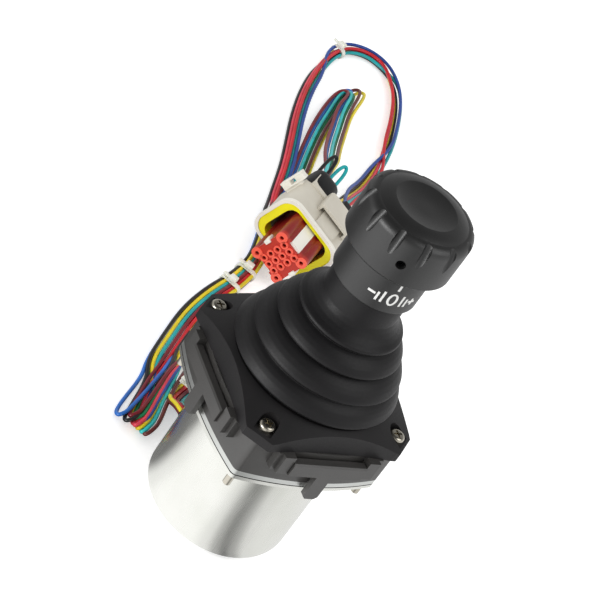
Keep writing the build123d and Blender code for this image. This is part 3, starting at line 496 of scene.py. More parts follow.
def hairpin_points(colour, order):
    """A wire's way out to its tip and back over its outward leg."""
    lane = (order - MIDDLE_LANE) * HAIRPIN_PITCH
    left, away = HAIRPIN_TIPS[colour]
    low = FIRST_ROW + ROW_RISE * (order % 2)
    high = low + 2 * ROW_RISE
    tip = [floor_point(left + TIP_HALF, away - TIP_BACK, low),
           floor_point(left, away + TIP_FRONT, (low + high) / 2),
           floor_point(left - TIP_HALF, away - TIP_BACK, high)]
    return laid(HAIRPIN_OUT, lane, low) + tip + laid(HAIRPIN_BACK, -lane, high)


def entry_points(group, order):
    """The last two points of a wire: behind the connector and in its cover."""
    entry, behind, back = ENTRIES[group]
    row, column = divmod(order, 3)
    near = con_point(behind + BEHIND_PITCH[0] * column, CON_REAR + back, ENTRY_LOW + BEHIND_PITCH[1] * row)
    hole = con_point(entry + ENTRY_PITCH[0] * column, CON_REAR, ENTRY_LOW + ENTRY_PITCH[1] * row)
    return [near, hole]


def wire_points(number):
    """A wire's whole route from the can to the connector."""
    colour, group = WIRES[number][:2]
    lane, row = bundle_lane(colour)
    side = (MIDDLE_LANE - lane) * WIRE_PITCH
    up = FIRST_ROW + row * ROW_RISE
    points = start_points(side, up) + laid(FIRST_RUN, -side, up)
    points += fold_points(number) + splice_points(lane, side, up)
    if group == "loop":
        order = list(LOOP_LANES).index(colour)
        points += loop_points(colour, order)
    else:
        order = list(HAIRPIN_TIPS)[::-1].index(colour)
        points += hairpin_points(colour, order)
    return points + entry_points(group, order)


def soft_curve(name, points, radius):
    """A smooth open curve with a round section through the route's points."""
    data = bpy.data.curves.new(name, "CURVE")
    data.dimensions = "3D"
    data.bevel_depth = radius
    data.bevel_resolution = 4
    data.resolution_u = 10
    data.use_fill_caps = True
    spline = data.splines.new("NURBS")
    spline.points.add(len(points) - 1)
    for point, place in zip(spline.points, points):
        point.co = (*place, 1.0)
    spline.order_u = 3
    spline.use_endpoint_u = True
    obj = bpy.data.objects.new(name, data)
    bpy.context.scene.collection.objects.link(obj)
    return obj


def route_line(obj):
    """Points along a curve's own line, read from the curve with its bevel off."""
    bare = obj.copy()
    bare.data = obj.data.copy()
    bare.data.bevel_depth = 0.0
    bpy.context.scene.collection.objects.link(bare)
    mesh = bpy.data.meshes.new_from_object(bare.evaluated_get(bpy.context.evaluated_depsgraph_get()))
    line = [vertex.co.copy() for vertex in mesh.vertices]
    bpy.data.meshes.remove(mesh)
    bpy.data.objects.remove(bare)
    return line


def line_length(line):
    return sum((b - a).length for a, b in zip(line, line[1:]))


# Bellows: outline in mm, as radius and height. The CAD part has the same outline.

CRESTS = [(42.9, 107.6), (38.4, 118.7), (32.5, 129.9), (26.9, 140.1)]
FOLD_IN = 2.4
FOLD_DROP = 2.2
LIP_IN = 0.9
LIP_HEIGHT = 1.3
BULGE = 0.7
RUBBER_WALL = 1.4
BOOT_NECK = [(35.8, 101.1), (35.8, 105.1)]
BOOT_BEAD = [(34.4, 106.5), (34.4, 99.4), (39.6, 99.4), (39.6, 101.1)]
BOOT_SLEEVE = [(19.3, 149.6), (19.3, 168.0)]
SPLIT_LOBE = 2
CORNER_ROUND = 0.5
TURN_STEPS = 144


def fold_under(lobe):
    """The fold below a lobe's lip."""
    radius, height = CRESTS[lobe]
    return (radius - FOLD_IN, height - FOLD_DROP)


def lobe_outline(lobe):
    """A lobe's outer skin, from its lip to the fold above it."""
    radius, height = CRESTS[lobe]
    last = lobe + 1 == len(CRESTS)
    end = BOOT_SLEEVE[0] if last else fold_under(lobe + 1)
    bulge = -BULGE if last else BULGE
    start = (radius - LIP_IN / 2, height + LIP_HEIGHT)
    points = [(radius - LIP_IN, height - LIP_HEIGHT), (radius, height), start]
    for part in (0.25, 0.5, 0.75):
        swell = 4 * part * (1 - part) * bulge
        points.append((start[0] + (end[0] - start[0]) * part + swell,
                       start[1] + (end[1] - start[1]) * part + swell))
    return points + [end]


def inner_skin(lobe):
    """The inner side of a lobe's lip."""
    radius, height = CRESTS[lobe]
    return (radius - 2 * RUBBER_WALL, height + RUBBER_WALL / 2)


def under_fold(lobe):
    """The inner side of the fold below a lobe."""
    radius, height = fold_under(lobe)
    return (radius - RUBBER_WALL, height)


def lower_boot():
    """Outline of the half below the split, with the bead in the bezel."""
    outer = BOOT_NECK + lobe_outline(0) + lobe_outline(1)
    return outer + [under_fold(SPLIT_LOBE), inner_skin(1), under_fold(1), inner_skin(0)] + BOOT_BEAD


def upper_boot():
    """Outline of the half above the split, with the sleeve in the collar."""
    outer = [fold_under(SPLIT_LOBE)] + lobe_outline(2) + lobe_outline(3) + [BOOT_SLEEVE[1]]
    inner = [(radius - RUBBER_WALL, height) for radius, height in reversed(BOOT_SLEEVE)]
    return outer + inner + [inner_skin(3), under_fold(3), inner_skin(2), under_fold(SPLIT_LOBE)]


def turned(outline):
    """A closed outline with its corners rounded, spun about the stick's axis."""
    mesh = bmesh.new()
    rim = [mesh.verts.new((radius * MM, 0.0, height * MM)) for radius, height in outline]
    for a, b in zip(rim, rim[1:] + rim[:1]):
        mesh.edges.new((a, b))
    bmesh.ops.bevel(mesh, geom=rim, offset=CORNER_ROUND * MM, offset_type="OFFSET", segments=3,
                    profile=0.5, affect="VERTICES", material=-1)
    bmesh.ops.spin(mesh, geom=mesh.verts[:] + mesh.edges[:], cent=(0, 0, 0), axis=(0, 0, 1),
                   dvec=(0, 0, 0), angle=math.tau, steps=TURN_STEPS, use_merge=True)
    return mesh


# Centring spring: radius and height of its wire at the plate and at the cap, in mm

SPRING_LOW = (14.8, 94.45)
SPRING_TOP = (11.0, 120.25)
SPRING_WIRE = 1.1
SPRING_TURNS = 5
SPRING_SPLIT = 0.21
SPRING_STEPS = 48
SPRING_SIDES = 12


def spring_place(share):
    """Radius and height of the spring's wire at a share of its height."""
    return [low + (top - low) * share for low, top in zip(SPRING_LOW, SPRING_TOP)]


def wire_ring(mesh, share):
    """One ring of vertices round the spring's wire."""
    radius, height = spring_place(share)
    angle = share * SPRING_TURNS * math.tau
    out = Vector((math.cos(angle), math.sin(angle), 0))
    turns = [math.tau * side / SPRING_SIDES for side in range(SPRING_SIDES)]
    places = [out * (radius + SPRING_WIRE * math.cos(turn)) + UP * (height + SPRING_WIRE * math.sin(turn))
              for turn in turns]
    return [mesh.verts.new(place * MM) for place in places]


def coil(start, end):
    """A stretch of the conical spring, between two shares of its height."""
    mesh = bmesh.new()
    steps = round((end - start) * SPRING_TURNS * SPRING_STEPS)
    rings = [wire_ring(mesh, start + (end - start) * step / steps) for step in range(steps + 1)]
    for near, far in zip(rings, rings[1:]):
        for side in range(SPRING_SIDES):
            mesh.faces.new((near[side], near[side - 1], far[side - 1], far[side]))
    mesh.faces.new(rings[0])
    mesh.faces.new(rings[-1][::-1])
    return mesh


# Scale on the collar: an index line above a plain minus, zero and plus, in mm round and up the collar

COLLAR_RADIUS = 21.5
MARK_DEG = -101.0
MARK_RISE = 170.2
# Each bar's place and size: the index, the minus, the two bars of the plus, and the steps
MARK_BARS = [
    (0.0, 8.6, 1.1, 6.0),
    (-10.6, 0.0, 3.8, 1.2),
    (10.6, 0.0, 3.8, 1.2),
    (10.6, 0.0, 1.2, 3.8),
    (-7.4, -0.8, 1.1, 4.8),
    (-4.9, 0.0, 1.1, 6.4),
    (4.9, 0.0, 1.1, 6.4),
    (7.4, -0.8, 1.1, 4.8),
]
ZERO_SIZE = (2.5, 3.6)
ZERO_HOLE = (0.54, 0.75)
PRINT_DEPTH = 0.06


def mark_bar(mesh, x, y, width, height):
    bar = bmesh.ops.create_grid(mesh, x_segments=6, y_segments=2, size=0.5)["verts"]
    bmesh.ops.scale(mesh, verts=bar, vec=(width, height, 1.0))
    bmesh.ops.translate(mesh, verts=bar, vec=(x, y, 0.0))


def mark_zero(mesh):
    outer = bmesh.ops.create_circle(mesh, segments=32, radius=1.0)["verts"]
    bmesh.ops.scale(mesh, verts=outer, vec=(*ZERO_SIZE, 1.0))
    edges = list({edge for vert in outer for edge in vert.link_edges})
    grown = bmesh.ops.extrude_edge_only(mesh, edges=edges)["geom"]
    inner = [item for item in grown if isinstance(item, bmesh.types.BMVert)]
    bmesh.ops.scale(mesh, verts=inner, vec=(*ZERO_HOLE, 1.0))


def wrap_round(mesh, radius, degrees, rise):
    """Bends a flat drawing round an upright cylinder."""
    for vert in mesh.verts:
        angle = math.radians(degrees) + vert.co.x / radius
        vert.co = Vector((radius * math.cos(angle), radius * math.sin(angle), rise + vert.co.y)) * MM


# Cable ties

TIE_THICKNESS = 1.0
TIE_NODES = ("cable_tie_low", "cable_tie_near", "cable_tie_far", "cable_tie_top")
TIE_HEAD = (4.6, 3.0, 4.0)
TIE_TAIL = (4.4, 0.9, 2.3)
TIE_OVERLAP = 0.3
TIE_TAIL_RISE = 0.8
TIE_ROUND = (0.5, 0.2)
# A wire within this distance of a tie's place runs through the tie
TIE_REACH = 0.011


def bundle_at(place, lines):
    """Middle, axes and half sizes of the bundle of wires that passes a place."""
    near = []
    for line in lines:
        index = min(range(1, len(line) - 1), key=lambda i: (line[i] - place).length)
        if (line[index] - place).length < TIE_REACH:
            step = (line[index + 1] - line[index - 1]).normalized()
            if near and step.dot(near[0][1]) < 0:
                step.negate()
            near.append((line[index], step))
    along = sum((step for _, step in near), Vector()).normalized()
    side = UP.cross(along).normalized()
    top = along.cross(side)
    across = [(point - place).dot(side) for point, _ in near]
    rise = [(point - place).dot(top) for point, _ in near]
    middle = place + side * (max(across) + min(across)) / 2 + top * (max(rise) + min(rise)) / 2
    return middle, (side, top, along), (max(across) - min(across)) / 2, (max(rise) - min(rise)) / 2


def tie_mesh(half_wide, half_high, width):
    """A tie round a flat bundle: band, head on top and cut tail. X across, Y up, Z along the bundle."""
    mesh = bmesh.new()
    half_high = min(half_high, half_wide)
    ring = bmesh.ops.create_circle(mesh, segments=48, radius=half_high)["verts"]
    for side in (-1, 1):
        half = [vert for vert in ring if vert.co.x * side > MM / 100]
        bmesh.ops.translate(mesh, verts=half, vec=((half_wide - half_high) * side, 0, 0))
    grown = bmesh.ops.extrude_edge_only(mesh, edges=mesh.edges[:])["geom"]
    edge = [item for item in grown if isinstance(item, bmesh.types.BMVert)]
    bmesh.ops.translate(mesh, verts=edge, vec=(0, 0, width))
    bmesh.ops.translate(mesh, verts=mesh.verts[:], vec=(0, 0, -width / 2))
    bmesh.ops.recalc_face_normals(mesh, faces=mesh.faces[:])
    bmesh.ops.solidify(mesh, geom=mesh.faces[:], thickness=TIE_THICKNESS * MM)
    seat = half_high / MM + TIE_THICKNESS / 2
    reach = TIE_HEAD[0] / 2 + TIE_TAIL[0] / 2 - TIE_OVERLAP
    rounded_block(mesh, TIE_HEAD, (0, seat + TIE_HEAD[1] / 2, 0), TIE_ROUND[0])
    rounded_block(mesh, TIE_TAIL, (reach, seat + TIE_TAIL_RISE, 0), TIE_ROUND[1])
    return mesh


# Connector pieces, in the connector's own frame, in mm

# Rings round the mouth: outer size, corner radius, size of the hole, start behind the face, length
RIM = ((45.0, 34.0), 9.4, (41.2, 30.2), 20.8, 2.6)
SEAL = ((41.0, 30.0), 7.4, (31.8, 25.8), 21.4, 8.4)
RING_EDGE = 0.6
# Painted shade on the insert: its red is lighter up to the first depth behind the face and painted darker,
# as shade, from the second
INSERT_PAINTED_LIT_DEPTH = 0.6
INSERT_PAINTED_SHADE_DEPTH = 3.4
# Contact cavities: places of the four at the corners, pitch of those between, and their tubes
LOBE_PLACE = (8.6, 9.5)
LOBE_RADIUS = 3.25
GRID_PITCH = (4.4, 5.2)
GRID_RADIUS = 2.3
CAVITY_RADIUS = 1.25
TOWER_OUT = 0.7
TOWER_IN = 0.6
TOWER_STEPS = 28
# Blocks as size, place and rounding: two key bars, two lugs, and the slotted tab with its root
PALE_BLOCKS = [
    ((7.7, 40.0, 2.5), (0.0, 21.4, 10.5), 0.4),
    ((7.7, 40.0, 2.5), (0.0, 21.4, -10.5), 0.4),
    ((2.4, 6.0, 3.6), (-11.0, 1.9, 0.6), 0.3),
    ((2.4, 6.0, 3.6), (11.0, 1.9, 0.6), 0.3),
    ((1.2, 4.0, 16.4), (-26.1, 45.0, 7.4), 0.4),
    ((1.2, 4.0, 16.4), (-22.5, 45.0, 7.4), 0.4),
    ((3.2, 3.8, 6.0), (-24.3, 45.0, 2.4), 0.3),
    ((3.2, 3.8, 6.0), (-24.3, 45.0, 12.4), 0.3),
    ((5.0, 3.0, 12.0), (-20.2, 45.6, 5.0), 0.4),
]
# The hood over the cover, and its small tab
HOOD_BLOCKS = [
    ((18.6, 20.0, 25.0), (-10.8, 54.4, 5.0), 6.0),
    ((8.0, 9.0, 6.0), (8.6, 63.6, 9.0), 1.2),
]
HOOD_SEGMENTS = 5
# Two short loops of wire that leave the hood and enter it again
HOOD_LOOPS = [
    ("black", [(-12.6, 58.0, 6.0), (-12.8, 74.0, 10.0), (-14.6, 84.0, 12.6), (-17.4, 84.6, 12.6),
               (-18.2, 75.0, 10.0), (-16.4, 58.0, 6.0)]),
    ("teal", [(-5.0, 58.0, 6.0), (-5.0, 74.0, 10.0), (-6.4, 85.6, 12.6), (-9.4, 86.2, 12.6),
              (-10.4, 76.0, 10.0), (-9.2, 58.0, 6.0)]),
]


def rounded_block(mesh, size, place, bevel, segments=2):
    """A block with rounded edges, sizes and place in mm."""
    block = bmesh.ops.create_cube(mesh, size=1.0)["verts"]
    bmesh.ops.scale(mesh, verts=block, vec=[length * MM for length in size])
    bmesh.ops.translate(mesh, verts=block, vec=[shift * MM for shift in place])
    edges = list({edge for vert in block for edge in vert.link_edges})
    bmesh.ops.bevel(mesh, geom=edges, offset=bevel * MM, offset_type="OFFSET", segments=segments,
                    profile=0.5, affect="EDGES", material=-1)


def rounded_frame(size, round_off, hole, start, length):
    """A rounded ring round the connector's mouth, open from front to back."""
    mesh = bmesh.new()
    block = bmesh.ops.create_cube(mesh, size=1.0)["verts"]
    bmesh.ops.scale(mesh, verts=block, vec=(size[0] * MM, length * MM, size[1] * MM))
    bmesh.ops.translate(mesh, verts=block, vec=(0, (start + length / 2) * MM, 0))
    long_edges = [edge for edge in mesh.edges
                  if abs((edge.verts[0].co - edge.verts[1].co).y) > 0.5 * MM]
    bmesh.ops.bevel(mesh, geom=long_edges, offset=round_off * MM, offset_type="OFFSET", segments=8,
                    profile=0.5, affect="EDGES", material=-1)
    mesh.normal_update()
    ends = [face for face in mesh.faces if abs(face.normal.y) > 0.9]
    bmesh.ops.inset_individual(mesh, faces=ends, thickness=RING_EDGE * MM)
    shrink = (hole[0] / (size[0] - 2 * RING_EDGE), 1.0, hole[1] / (size[1] - 2 * RING_EDGE))
    inner = [vert for face in ends for vert in face.verts]
    loops = [edge for face in ends for edge in face.edges]
    bmesh.ops.scale(mesh, verts=inner, vec=shrink)
    bmesh.ops.delete(mesh, geom=ends, context="FACES_ONLY")
    bmesh.ops.bridge_loops(mesh, edges=loops)
    return mesh


def tower(mesh, x, z, radius):
    """A tube round a contact cavity, a little proud of the insert's face."""
    outline = [(CAVITY_RADIUS, -TOWER_OUT), (radius, -TOWER_OUT), (radius, TOWER_IN),
               (CAVITY_RADIUS, TOWER_IN)]
    corners = [mesh.verts.new(((x + out) * MM, y * MM, z * MM)) for out, y in outline]
    edges = [mesh.edges.new((corners[i], corners[i - 1])) for i in range(4)]
    bmesh.ops.spin(mesh, geom=corners + edges, cent=(x * MM, 0, z * MM), axis=(0, 1, 0),
                   angle=math.tau, steps=TOWER_STEPS, use_merge=True)


def towers():
    """The tubes of all the contact cavities, four at the corners and twelve between."""
    mesh = bmesh.new()
    for side in (-1, 1):
        for level in (-1, 1):
            tower(mesh, side * LOBE_PLACE[0], level * LOBE_PLACE[1], LOBE_RADIUS)
    for column in (-1, 0, 1):
        for row in range(4):
            tower(mesh, column * GRID_PITCH[0], (row - 1.5) * GRID_PITCH[1], GRID_RADIUS)
    bmesh.ops.recalc_face_normals(mesh, faces=mesh.faces[:])
    return mesh


def place_on_connector(mesh):
    """Moves a mesh from the connector's own frame to its place."""
    bmesh.ops.transform(mesh, matrix=CONNECTOR, verts=mesh.verts[:])
    return mesh


def insert_with_painted_shade():
    """Red moulding with painted shade: lighter on its face and painted darker red down its sides."""
    material, tree, shader, where = new_material("insert_polyester_painted_shade")
    rear = CONNECTOR.to_3x3() @ Vector((0, 1, 0))
    depth = add_node(tree, "VectorMath", {0: where}, operation="DOT_PRODUCT")
    depth.inputs[1].default_value = rear
    face = CONNECTOR.translation.dot(rear)
    painted_lit_to = face + INSERT_PAINTED_LIT_DEPTH * MM
    painted_shade_from = face + INSERT_PAINTED_SHADE_DEPTH * MM
    deep = remap(tree, depth.outputs["Value"], 0.0, 1.0, painted_lit_to, painted_shade_from)
    # Painted shade: the face's red darkens down the sides, where shade falls
    shade = tint(tree, deep, linear("#c03226"), linear("#8c1c1a"))
    tree.links.new(shade, shader.inputs["Base Color"])
    shader.inputs["Roughness"].default_value = 0.34
    relief(tree, shader, grain(tree, where, 900.0, 2.0), 0.2, 0.00003)
    return material


# Sizes and colours that a user would change

class HarnessSettings(bpy.types.PropertyGroup):
    wire_diameter: bpy.props.FloatProperty(
        name="Wire diameter", description="Outside diameter of one insulated wire",
        default=0.0021, min=0.0005, unit="LENGTH")
    tie_width: bpy.props.FloatProperty(
        name="Tie width", description="Width of a cable tie's band",
        default=0.0026, min=0.001, unit="LENGTH")


class StageSettings(bpy.types.PropertyGroup):
    floor_colour: bpy.props.FloatVectorProperty(
        name="Floor colour", description="Colour of the plain floor", subtype="COLOR",
        default=(0.86, 0.86, 0.86), min=0.0, max=1.0)
    key_power: bpy.props.FloatProperty(
        name="Key lamp", description="Power of the large lamp on the left",
        default=6.5, min=0.0, unit="POWER")
    fill_power: bpy.props.FloatProperty(
        name="Fill lamp", description="Power of the soft lamp on the right",
        default=3.0, min=0.0, unit="POWER")


class JOYSTICK_OT_finishes(bpy.types.Operator):
    """Give every carried-over CAD piece its finish"""
    bl_idname = "joystick.finishes"
    bl_label = "Finishes"

    def execute(self, context):
        for node, obj in frame["nodes"].items():
            put_on(obj, finish_for(SLOT_OF[node]))
        return {"FINISHED"}


def lay_wire(name, insulation, colour, points, radius):
    """One wire of the harness, in its colour."""
    wire = soft_curve(name + colour, points, radius)
    put_on(wire, wire_colour(insulation + colour, WIRE_COLOURS[colour]))
    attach(wire, "base")
    return wire


class JOYSTICK_OT_wires(bpy.types.Operator):
    """Lay the harness wires from the can to the connector"""
    bl_idname = "joystick.wires"
    bl_label = "Wires"

    def execute(self, context):
        radius = context.scene.joystick_harness.wire_diameter / 2
        wires = [lay_wire("wire_", "", WIRES[number][0], wire_points(number), radius)
                 for number in range(len(WIRES))]
        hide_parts("harness_trunk", "harness_splice", "harness_loop", "harness_hairpin")
        for colour, places in HOOD_LOOPS:
            points = [con_point(*place) for place in places]
            lay_wire("hood_loop_", "loop_", colour, points, radius)
        return {"FINISHED"}


class JOYSTICK_OT_cords(bpy.types.Operator):
    """Read every wire's line and work out its length"""
    bl_idname = "joystick.cords"
    bl_label = "Cords"

    def execute(self, context):
        plug = [frame["nodes"][n] for n in ("connector_housing", "connector_insert", "connector_cover")]
        plug.append(bpy.data.objects["connector_seal_lip"])
        bands = [bpy.data.objects[node + "_band"] for node in TIE_NODES]
        cords = [("hood_loop_" + colour, con_point(*places[0]), []) for colour, places in HOOD_LOOPS]
        for number, (colour, group, *_) in enumerate(WIRES):
            passed = bands if group == "loop" else bands[:-1]
            cords.append(("wire_" + colour, wire_points(number)[0], passed))
        for name, start, ties in cords:
            wire = bpy.data.objects[name]
            line_length(route_line(wire))
        return {"FINISHED"}


def bent_pair(name, node, meshes, slot):
    """Two pieces for a CAD piece, a lower and an upper, which take its place."""
    lower = piece_from(meshes[0], name + "_lower", finish_for(slot), None, replaces=(node,))
    upper = piece_from(meshes[1], name + "_upper", finish_for(slot), None)
    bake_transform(lower)
    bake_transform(upper)


class JOYSTICK_OT_bellows(bpy.types.Operator):
    """Mould the rubber bellows in two halves"""
    bl_idname = "joystick.bellows"
    bl_label = "Bellows"

    def execute(self, context):
        halves = (turned(lower_boot()), turned(upper_boot()))
        bent_pair("bellows", "bellows", halves, "boot_rubber")
        return {"FINISHED"}


class JOYSTICK_OT_spring(bpy.types.Operator):
    """Wind the centring spring in two stretches"""
    bl_idname = "joystick.spring"
    bl_label = "Centring spring"

    def execute(self, context):
        stretches = (coil(0.0, SPRING_SPLIT), coil(SPRING_SPLIT, 1.0))
        bent_pair("spring", "centring_spring", stretches, "spring_steel")
        return {"FINISHED"}


class JOYSTICK_OT_scale(bpy.types.Operator):
    """Print the index line and the minus, zero and plus on the collar"""
    bl_idname = "joystick.scale"
    bl_label = "Collar scale"

    def execute(self, context):
        mesh = bmesh.new()
        for bar in MARK_BARS:
            mark_bar(mesh, *bar)
        mark_zero(mesh)
        wrap_round(mesh, COLLAR_RADIUS + PRINT_DEPTH / 2, MARK_DEG, MARK_RISE)
        bmesh.ops.recalc_face_normals(mesh, faces=mesh.faces[:])
        bmesh.ops.solidify(mesh, geom=mesh.faces[:], thickness=PRINT_DEPTH * MM)
        # Flat white print
        paint = moulding("marking_paint", "#f4f4f2", "#e9e9e6", 0.5, 900.0)
        piece_from(mesh, "collar_scale", paint, "stick", smooth=False)
        return {"FINISHED"}


class JOYSTICK_OT_ties(bpy.types.Operator):
    """Fasten the cable ties round the wires"""
    bl_idname = "joystick.ties"
    bl_label = "Cable ties"

    def execute(self, context):
        settings = context.scene.joystick_harness
        lines = [route_line(obj) for obj in context.scene.objects if obj.name.startswith("wire_")]
        for node in TIE_NODES:
            low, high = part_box(node)
            place = (Vector(low) + Vector(high)) / 2
            middle, axes, half_wide, half_high = bundle_at(place, lines)
            room = settings.wire_diameter / 2 + TIE_THICKNESS * MM
            mesh = tie_mesh(half_wide + room, half_high + room, settings.tie_width)
            turn = Matrix(axes).transposed().to_4x4()
            bmesh.ops.transform(mesh, matrix=Matrix.Translation(middle) @ turn, verts=mesh.verts[:])
            piece_from(mesh, node + "_band", finish_for("tie_nylon"), "base",
                       replaces=(node,), smooth=False)
        return {"FINISHED"}


class JOYSTICK_OT_connector(bpy.types.Operator):
    """Fit the connector's rim, seal, keys, tab and hood"""
    bl_idname = "joystick.connector"
    bl_label = "Connector"

    def execute(self, context):
        # Whiter than the shell, so the mouth is outlined
        pale = moulding("connector_rim", "#f6f3ea", "#ece8dd", 0.34, 1200.0)
        rim = place_on_connector(rounded_frame(*RIM))
        piece_from(rim, "connector_rim", pale, "base", smooth=False)
        seal = place_on_connector(rounded_frame(*SEAL))
        piece_from(seal, "connector_seal_lip", finish_for("seal_yellow"), "base",
                   replaces=("connector_seal",), smooth=False)
        keys = bmesh.new()
        for size, place, bevel in PALE_BLOCKS:
            rounded_block(keys, size, place, bevel)
        piece_from(place_on_connector(keys), "connector_keys", pale, "base", smooth=False)
        hood = bmesh.new()
        for size, place, bevel in HOOD_BLOCKS:
            rounded_block(hood, size, place, bevel, HOOD_SEGMENTS)
        piece_from(place_on_connector(hood), "connector_hood", finish_for("cover_black"), "base",
                   smooth=False)
        # The insert's red, with painted shade down its sides
        put_on(frame["nodes"]["connector_insert"], insert_with_painted_shade())
        # Painted highlight: the insert's red made lighter than the face behind, so each cavity has a
        # bright ring
        coral_painted_highlight = moulding("insert_towers", "#ff6a56", "#f65c48", 0.3, 1200.0)
        piece_from(place_on_connector(towers()), "insert_towers", coral_painted_highlight, "base", smooth=False)
        return {"FINISHED"}


class JOYSTICK_OT_studio(bpy.types.Operator):
    """Set up the floor, lamps, surroundings and camera"""
    bl_idname = "joystick.studio"
    bl_label = "Studio"

    def execute(self, context):
        make_floor(context.scene.joystick_stage.floor_colour)
        make_surroundings()
        settings = context.scene.joystick_stage
        area_lamp("key_lamp", KEY_PLACE, KEY_SIZE, settings.key_power)
        area_lamp("fill_lamp", FILL_PLACE, FILL_SIZE, settings.fill_power)
        make_camera()
        return {"FINISHED"}


# Painted reflection: how brightly the floor glows to glossy rays, by degrees round from the front corner,
# for
# the can and the plastic to mirror: dark at the far left, a painted bright side in front of it, a painted
# dark band, and a duller side on the right
PAINTED_REFLECTION = [
    (-180, 0.50), (-142, 0.44), (-124, 0.13), (-88, 0.17), (-66, 0.84), (-48, 1.00), (2, 1.00),
    (16, 0.80), (26, 0.40), (34, 0.20), (42, 0.38), (54, 0.72), (72, 0.78), (180, 0.76),
]
PAINTED_REFLECTION_STRENGTH = 1.12
CAMERA_LIFT = 0.45
FRONT_CORNER_DEG = -135.0


def painted_reflection_colour(tree):
    """Brightness of the painted reflection round the stick, as a colour."""
    where = tree.nodes.new("ShaderNodeTexCoord").outputs["Object"]
    turn = add_node(tree, "Mapping", {"Vector": where})
    turn.inputs["Rotation"].default_value = (0, 0, math.radians(-FRONT_CORNER_DEG))
    place = add_node(tree, "SeparateXYZ", {"Vector": turn.outputs["Vector"]})
    sides = {0: place.outputs["Y"], 1: place.outputs["X"]}
    angle = add_node(tree, "Math", sides, operation="ARCTAN2")
    ramp = add_node(tree, "ValToRGB", {"Fac": remap(tree, angle.outputs[0], 0.0, 1.0, -math.pi, math.pi)})
    ramp.color_ramp.interpolation = "EASE"
    elements = ramp.color_ramp.elements
    while len(elements) < len(PAINTED_REFLECTION):
        elements.new(0.5)
    for element, (degrees, level) in zip(elements, PAINTED_REFLECTION):
        element.position = (degrees + 180) / 360
        element.color = (level, level, level, 1.0)
    return ramp.outputs["Color"]


# Half the floor's width, and how far it lies below the can, in metres
FLOOR_HALF = 4.0
FLOOR_GAP = 0.0002


def make_floor(colour):
    """White paper to the camera; to glossy rays it glows as a painted reflection, which the can and the
    plastic mirror as lighter and darker sides.
    """
    mesh = bmesh.new()
    bmesh.ops.create_grid(mesh, x_segments=2, y_segments=2, size=FLOOR_HALF)
    material = bpy.data.materials.new("floor_paper")
    material.use_nodes = True
    tree = material.node_tree
    shader = tree.nodes["Principled BSDF"]
    shader.inputs["Base Color"].default_value = (*colour, 1.0)
    shader.inputs["Roughness"].default_value = 0.9
    seen = add_node(tree, "LightPath")
    scaled = add_node(tree, "Math", {0: seen.outputs["Is Camera Ray"]}, operation="MULTIPLY")
    scaled.inputs[1].default_value = CAMERA_LIFT
    lift = add_node(tree, "Emission", {"Strength": scaled.outputs[0]})
    total = add_node(tree, "AddShader", {0: shader.outputs[0], 1: lift.outputs[0]})
    # The floor glows to glossy rays alone: a painted reflection for the can and the plastic
    glow = add_node(tree, "Emission", {"Color": painted_reflection_colour(tree)}, Strength=PAINTED_REFLECTION_STRENGTH)
    parts = {0: seen.outputs["Is Glossy Ray"], 1: total.outputs[0], 2: glow.outputs[0]}
    mixed = add_node(tree, "MixShader", parts)
    tree.links.new(mixed.outputs["Shader"], tree.nodes["Material Output"].inputs["Surface"])
    floor = piece_from(mesh, "studio_floor", material, None, smooth=False)
    for vertex in floor.data.vertices:
        vertex.co.z = -FLOOR_GAP


# Soft light from all round, and what the pieces mirror from the side and from above
AMBIENT = 0.8
GLOW_LOW = 0.75
GLOW_HIGH = 0.07
GLOW_TOP = 0.8


def make_surroundings():
    """White to the camera, soft light on the object, and a reflection that darkens upwards."""
    world = bpy.data.worlds.new("studio_world")
    bpy.context.scene.world = world
    world.use_nodes = True
    tree = world.node_tree
    back = tree.nodes["Background"]
    seen = add_node(tree, "LightPath")
    where = tree.nodes.new("ShaderNodeTexCoord").outputs["Generated"]
    direction = add_node(tree, "SeparateXYZ", {"Vector": where})
    mirrored = remap(tree, direction.outputs["Z"], GLOW_LOW, GLOW_HIGH, 0.0, GLOW_TOP)
    soft = add_node(tree, "Mix", {"Factor": seen.outputs["Is Glossy Ray"], "B": mirrored},
                    data_type="FLOAT")
    soft.inputs["A"].default_value = AMBIENT
    level = add_node(tree, "Mix", {"Factor": seen.outputs["Is Camera Ray"], "A": soft.outputs["Result"]},
                     data_type="FLOAT")
    level.inputs["B"].default_value = 1.0
    tree.links.new(level.outputs["Result"], back.inputs["Strength"])
    back.inputs["Color"].default_value = (1.0, 1.0, 1.0, 1.0)


def view_axes():
    """Right, up and towards-the-viewer directions of the photograph."""
    towards = (CAMERA_PLACE - CAMERA_AIM).normalized()
    level_right = UP.cross(towards).normalized()
    level_up = towards.cross(level_right)
    turn = Quaternion(towards, CAMERA_ROLL)
    return turn @ level_right, turn @ level_up, towards


# Lamps: what they face, then each one's place to the right, up and towards the viewer, and its size
LAMP_AIM = Vector((0, 0, 0.09))
KEY_PLACE = (-0.85, 0.1, 0.75)
KEY_SIZE = 0.6
FILL_PLACE = (0.9, 0.1, 0.6)
FILL_SIZE = 0.8


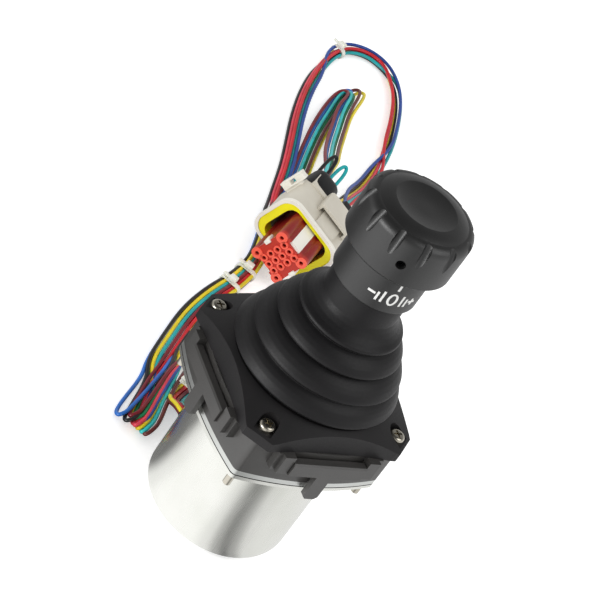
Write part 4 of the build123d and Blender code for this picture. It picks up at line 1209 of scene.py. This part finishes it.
def area_lamp(name, place, size, power):
    """A square lamp that faces the joystick."""
    data = bpy.data.lights.new(name, "AREA")
    data.shape = "SQUARE"
    data.size = size
    data.energy = power
    lamp = bpy.data.objects.new(name, data)
    bpy.context.scene.collection.objects.link(lamp)
    reach = Matrix(view_axes()).transposed() @ Vector(place)
    lamp.location = LAMP_AIM + reach
    lamp.rotation_mode = "QUATERNION"
    lamp.rotation_quaternion = reach.to_track_quat("Z", "Y")


def make_camera():
    data = bpy.data.cameras.new("photo_camera")
    data.sensor_width = CAMERA_SENSOR
    data.lens = CAMERA_LENS
    data.clip_end = 20.0
    camera = bpy.data.objects.new("photo_camera", data)
    bpy.context.scene.collection.objects.link(camera)
    turn = Matrix(view_axes()).transposed().to_4x4()
    camera.matrix_world = Matrix.Translation(CAMERA_PLACE) @ turn
    bpy.context.scene.camera = camera
    bpy.context.scene.view_settings.view_transform = "Standard"


class JOYSTICK_PT_panel(bpy.types.Panel):
    """Buttons and settings for dressing the joystick"""
    bl_idname = "JOYSTICK_PT_panel"
    bl_label = "Joystick"
    bl_space_type = "VIEW_3D"
    bl_region_type = "UI"
    bl_category = "Joystick"

    def draw(self, context):
        scene = context.scene
        for group in (scene.joystick_harness, scene.joystick_stage):
            for name in group.__annotations__:
                self.layout.prop(group, name)
        for step in STEPS:
            self.layout.operator("joystick." + step)


STEPS = ("finishes", "bellows", "spring", "scale", "connector", "wires", "ties", "cords", "studio")
CLASSES = (HarnessSettings, StageSettings, JOYSTICK_OT_finishes, JOYSTICK_OT_bellows,
           JOYSTICK_OT_spring, JOYSTICK_OT_scale, JOYSTICK_OT_connector, JOYSTICK_OT_wires,
           JOYSTICK_OT_ties, JOYSTICK_OT_cords, JOYSTICK_OT_studio, JOYSTICK_PT_panel)


def register():
    for cls in CLASSES:
        bpy.utils.register_class(cls)
    bpy.types.Scene.joystick_harness = bpy.props.PointerProperty(type=HarnessSettings)
    bpy.types.Scene.joystick_stage = bpy.props.PointerProperty(type=StageSettings)


def unregister():
    del bpy.types.Scene.joystick_stage
    del bpy.types.Scene.joystick_harness
    for cls in reversed(CLASSES):
        bpy.utils.unregister_class(cls)


def main():
    """Runs every step in turn."""
    register()
    for step in STEPS:
        getattr(bpy.ops.joystick, step)()


if __name__ == "__main__":
    main()
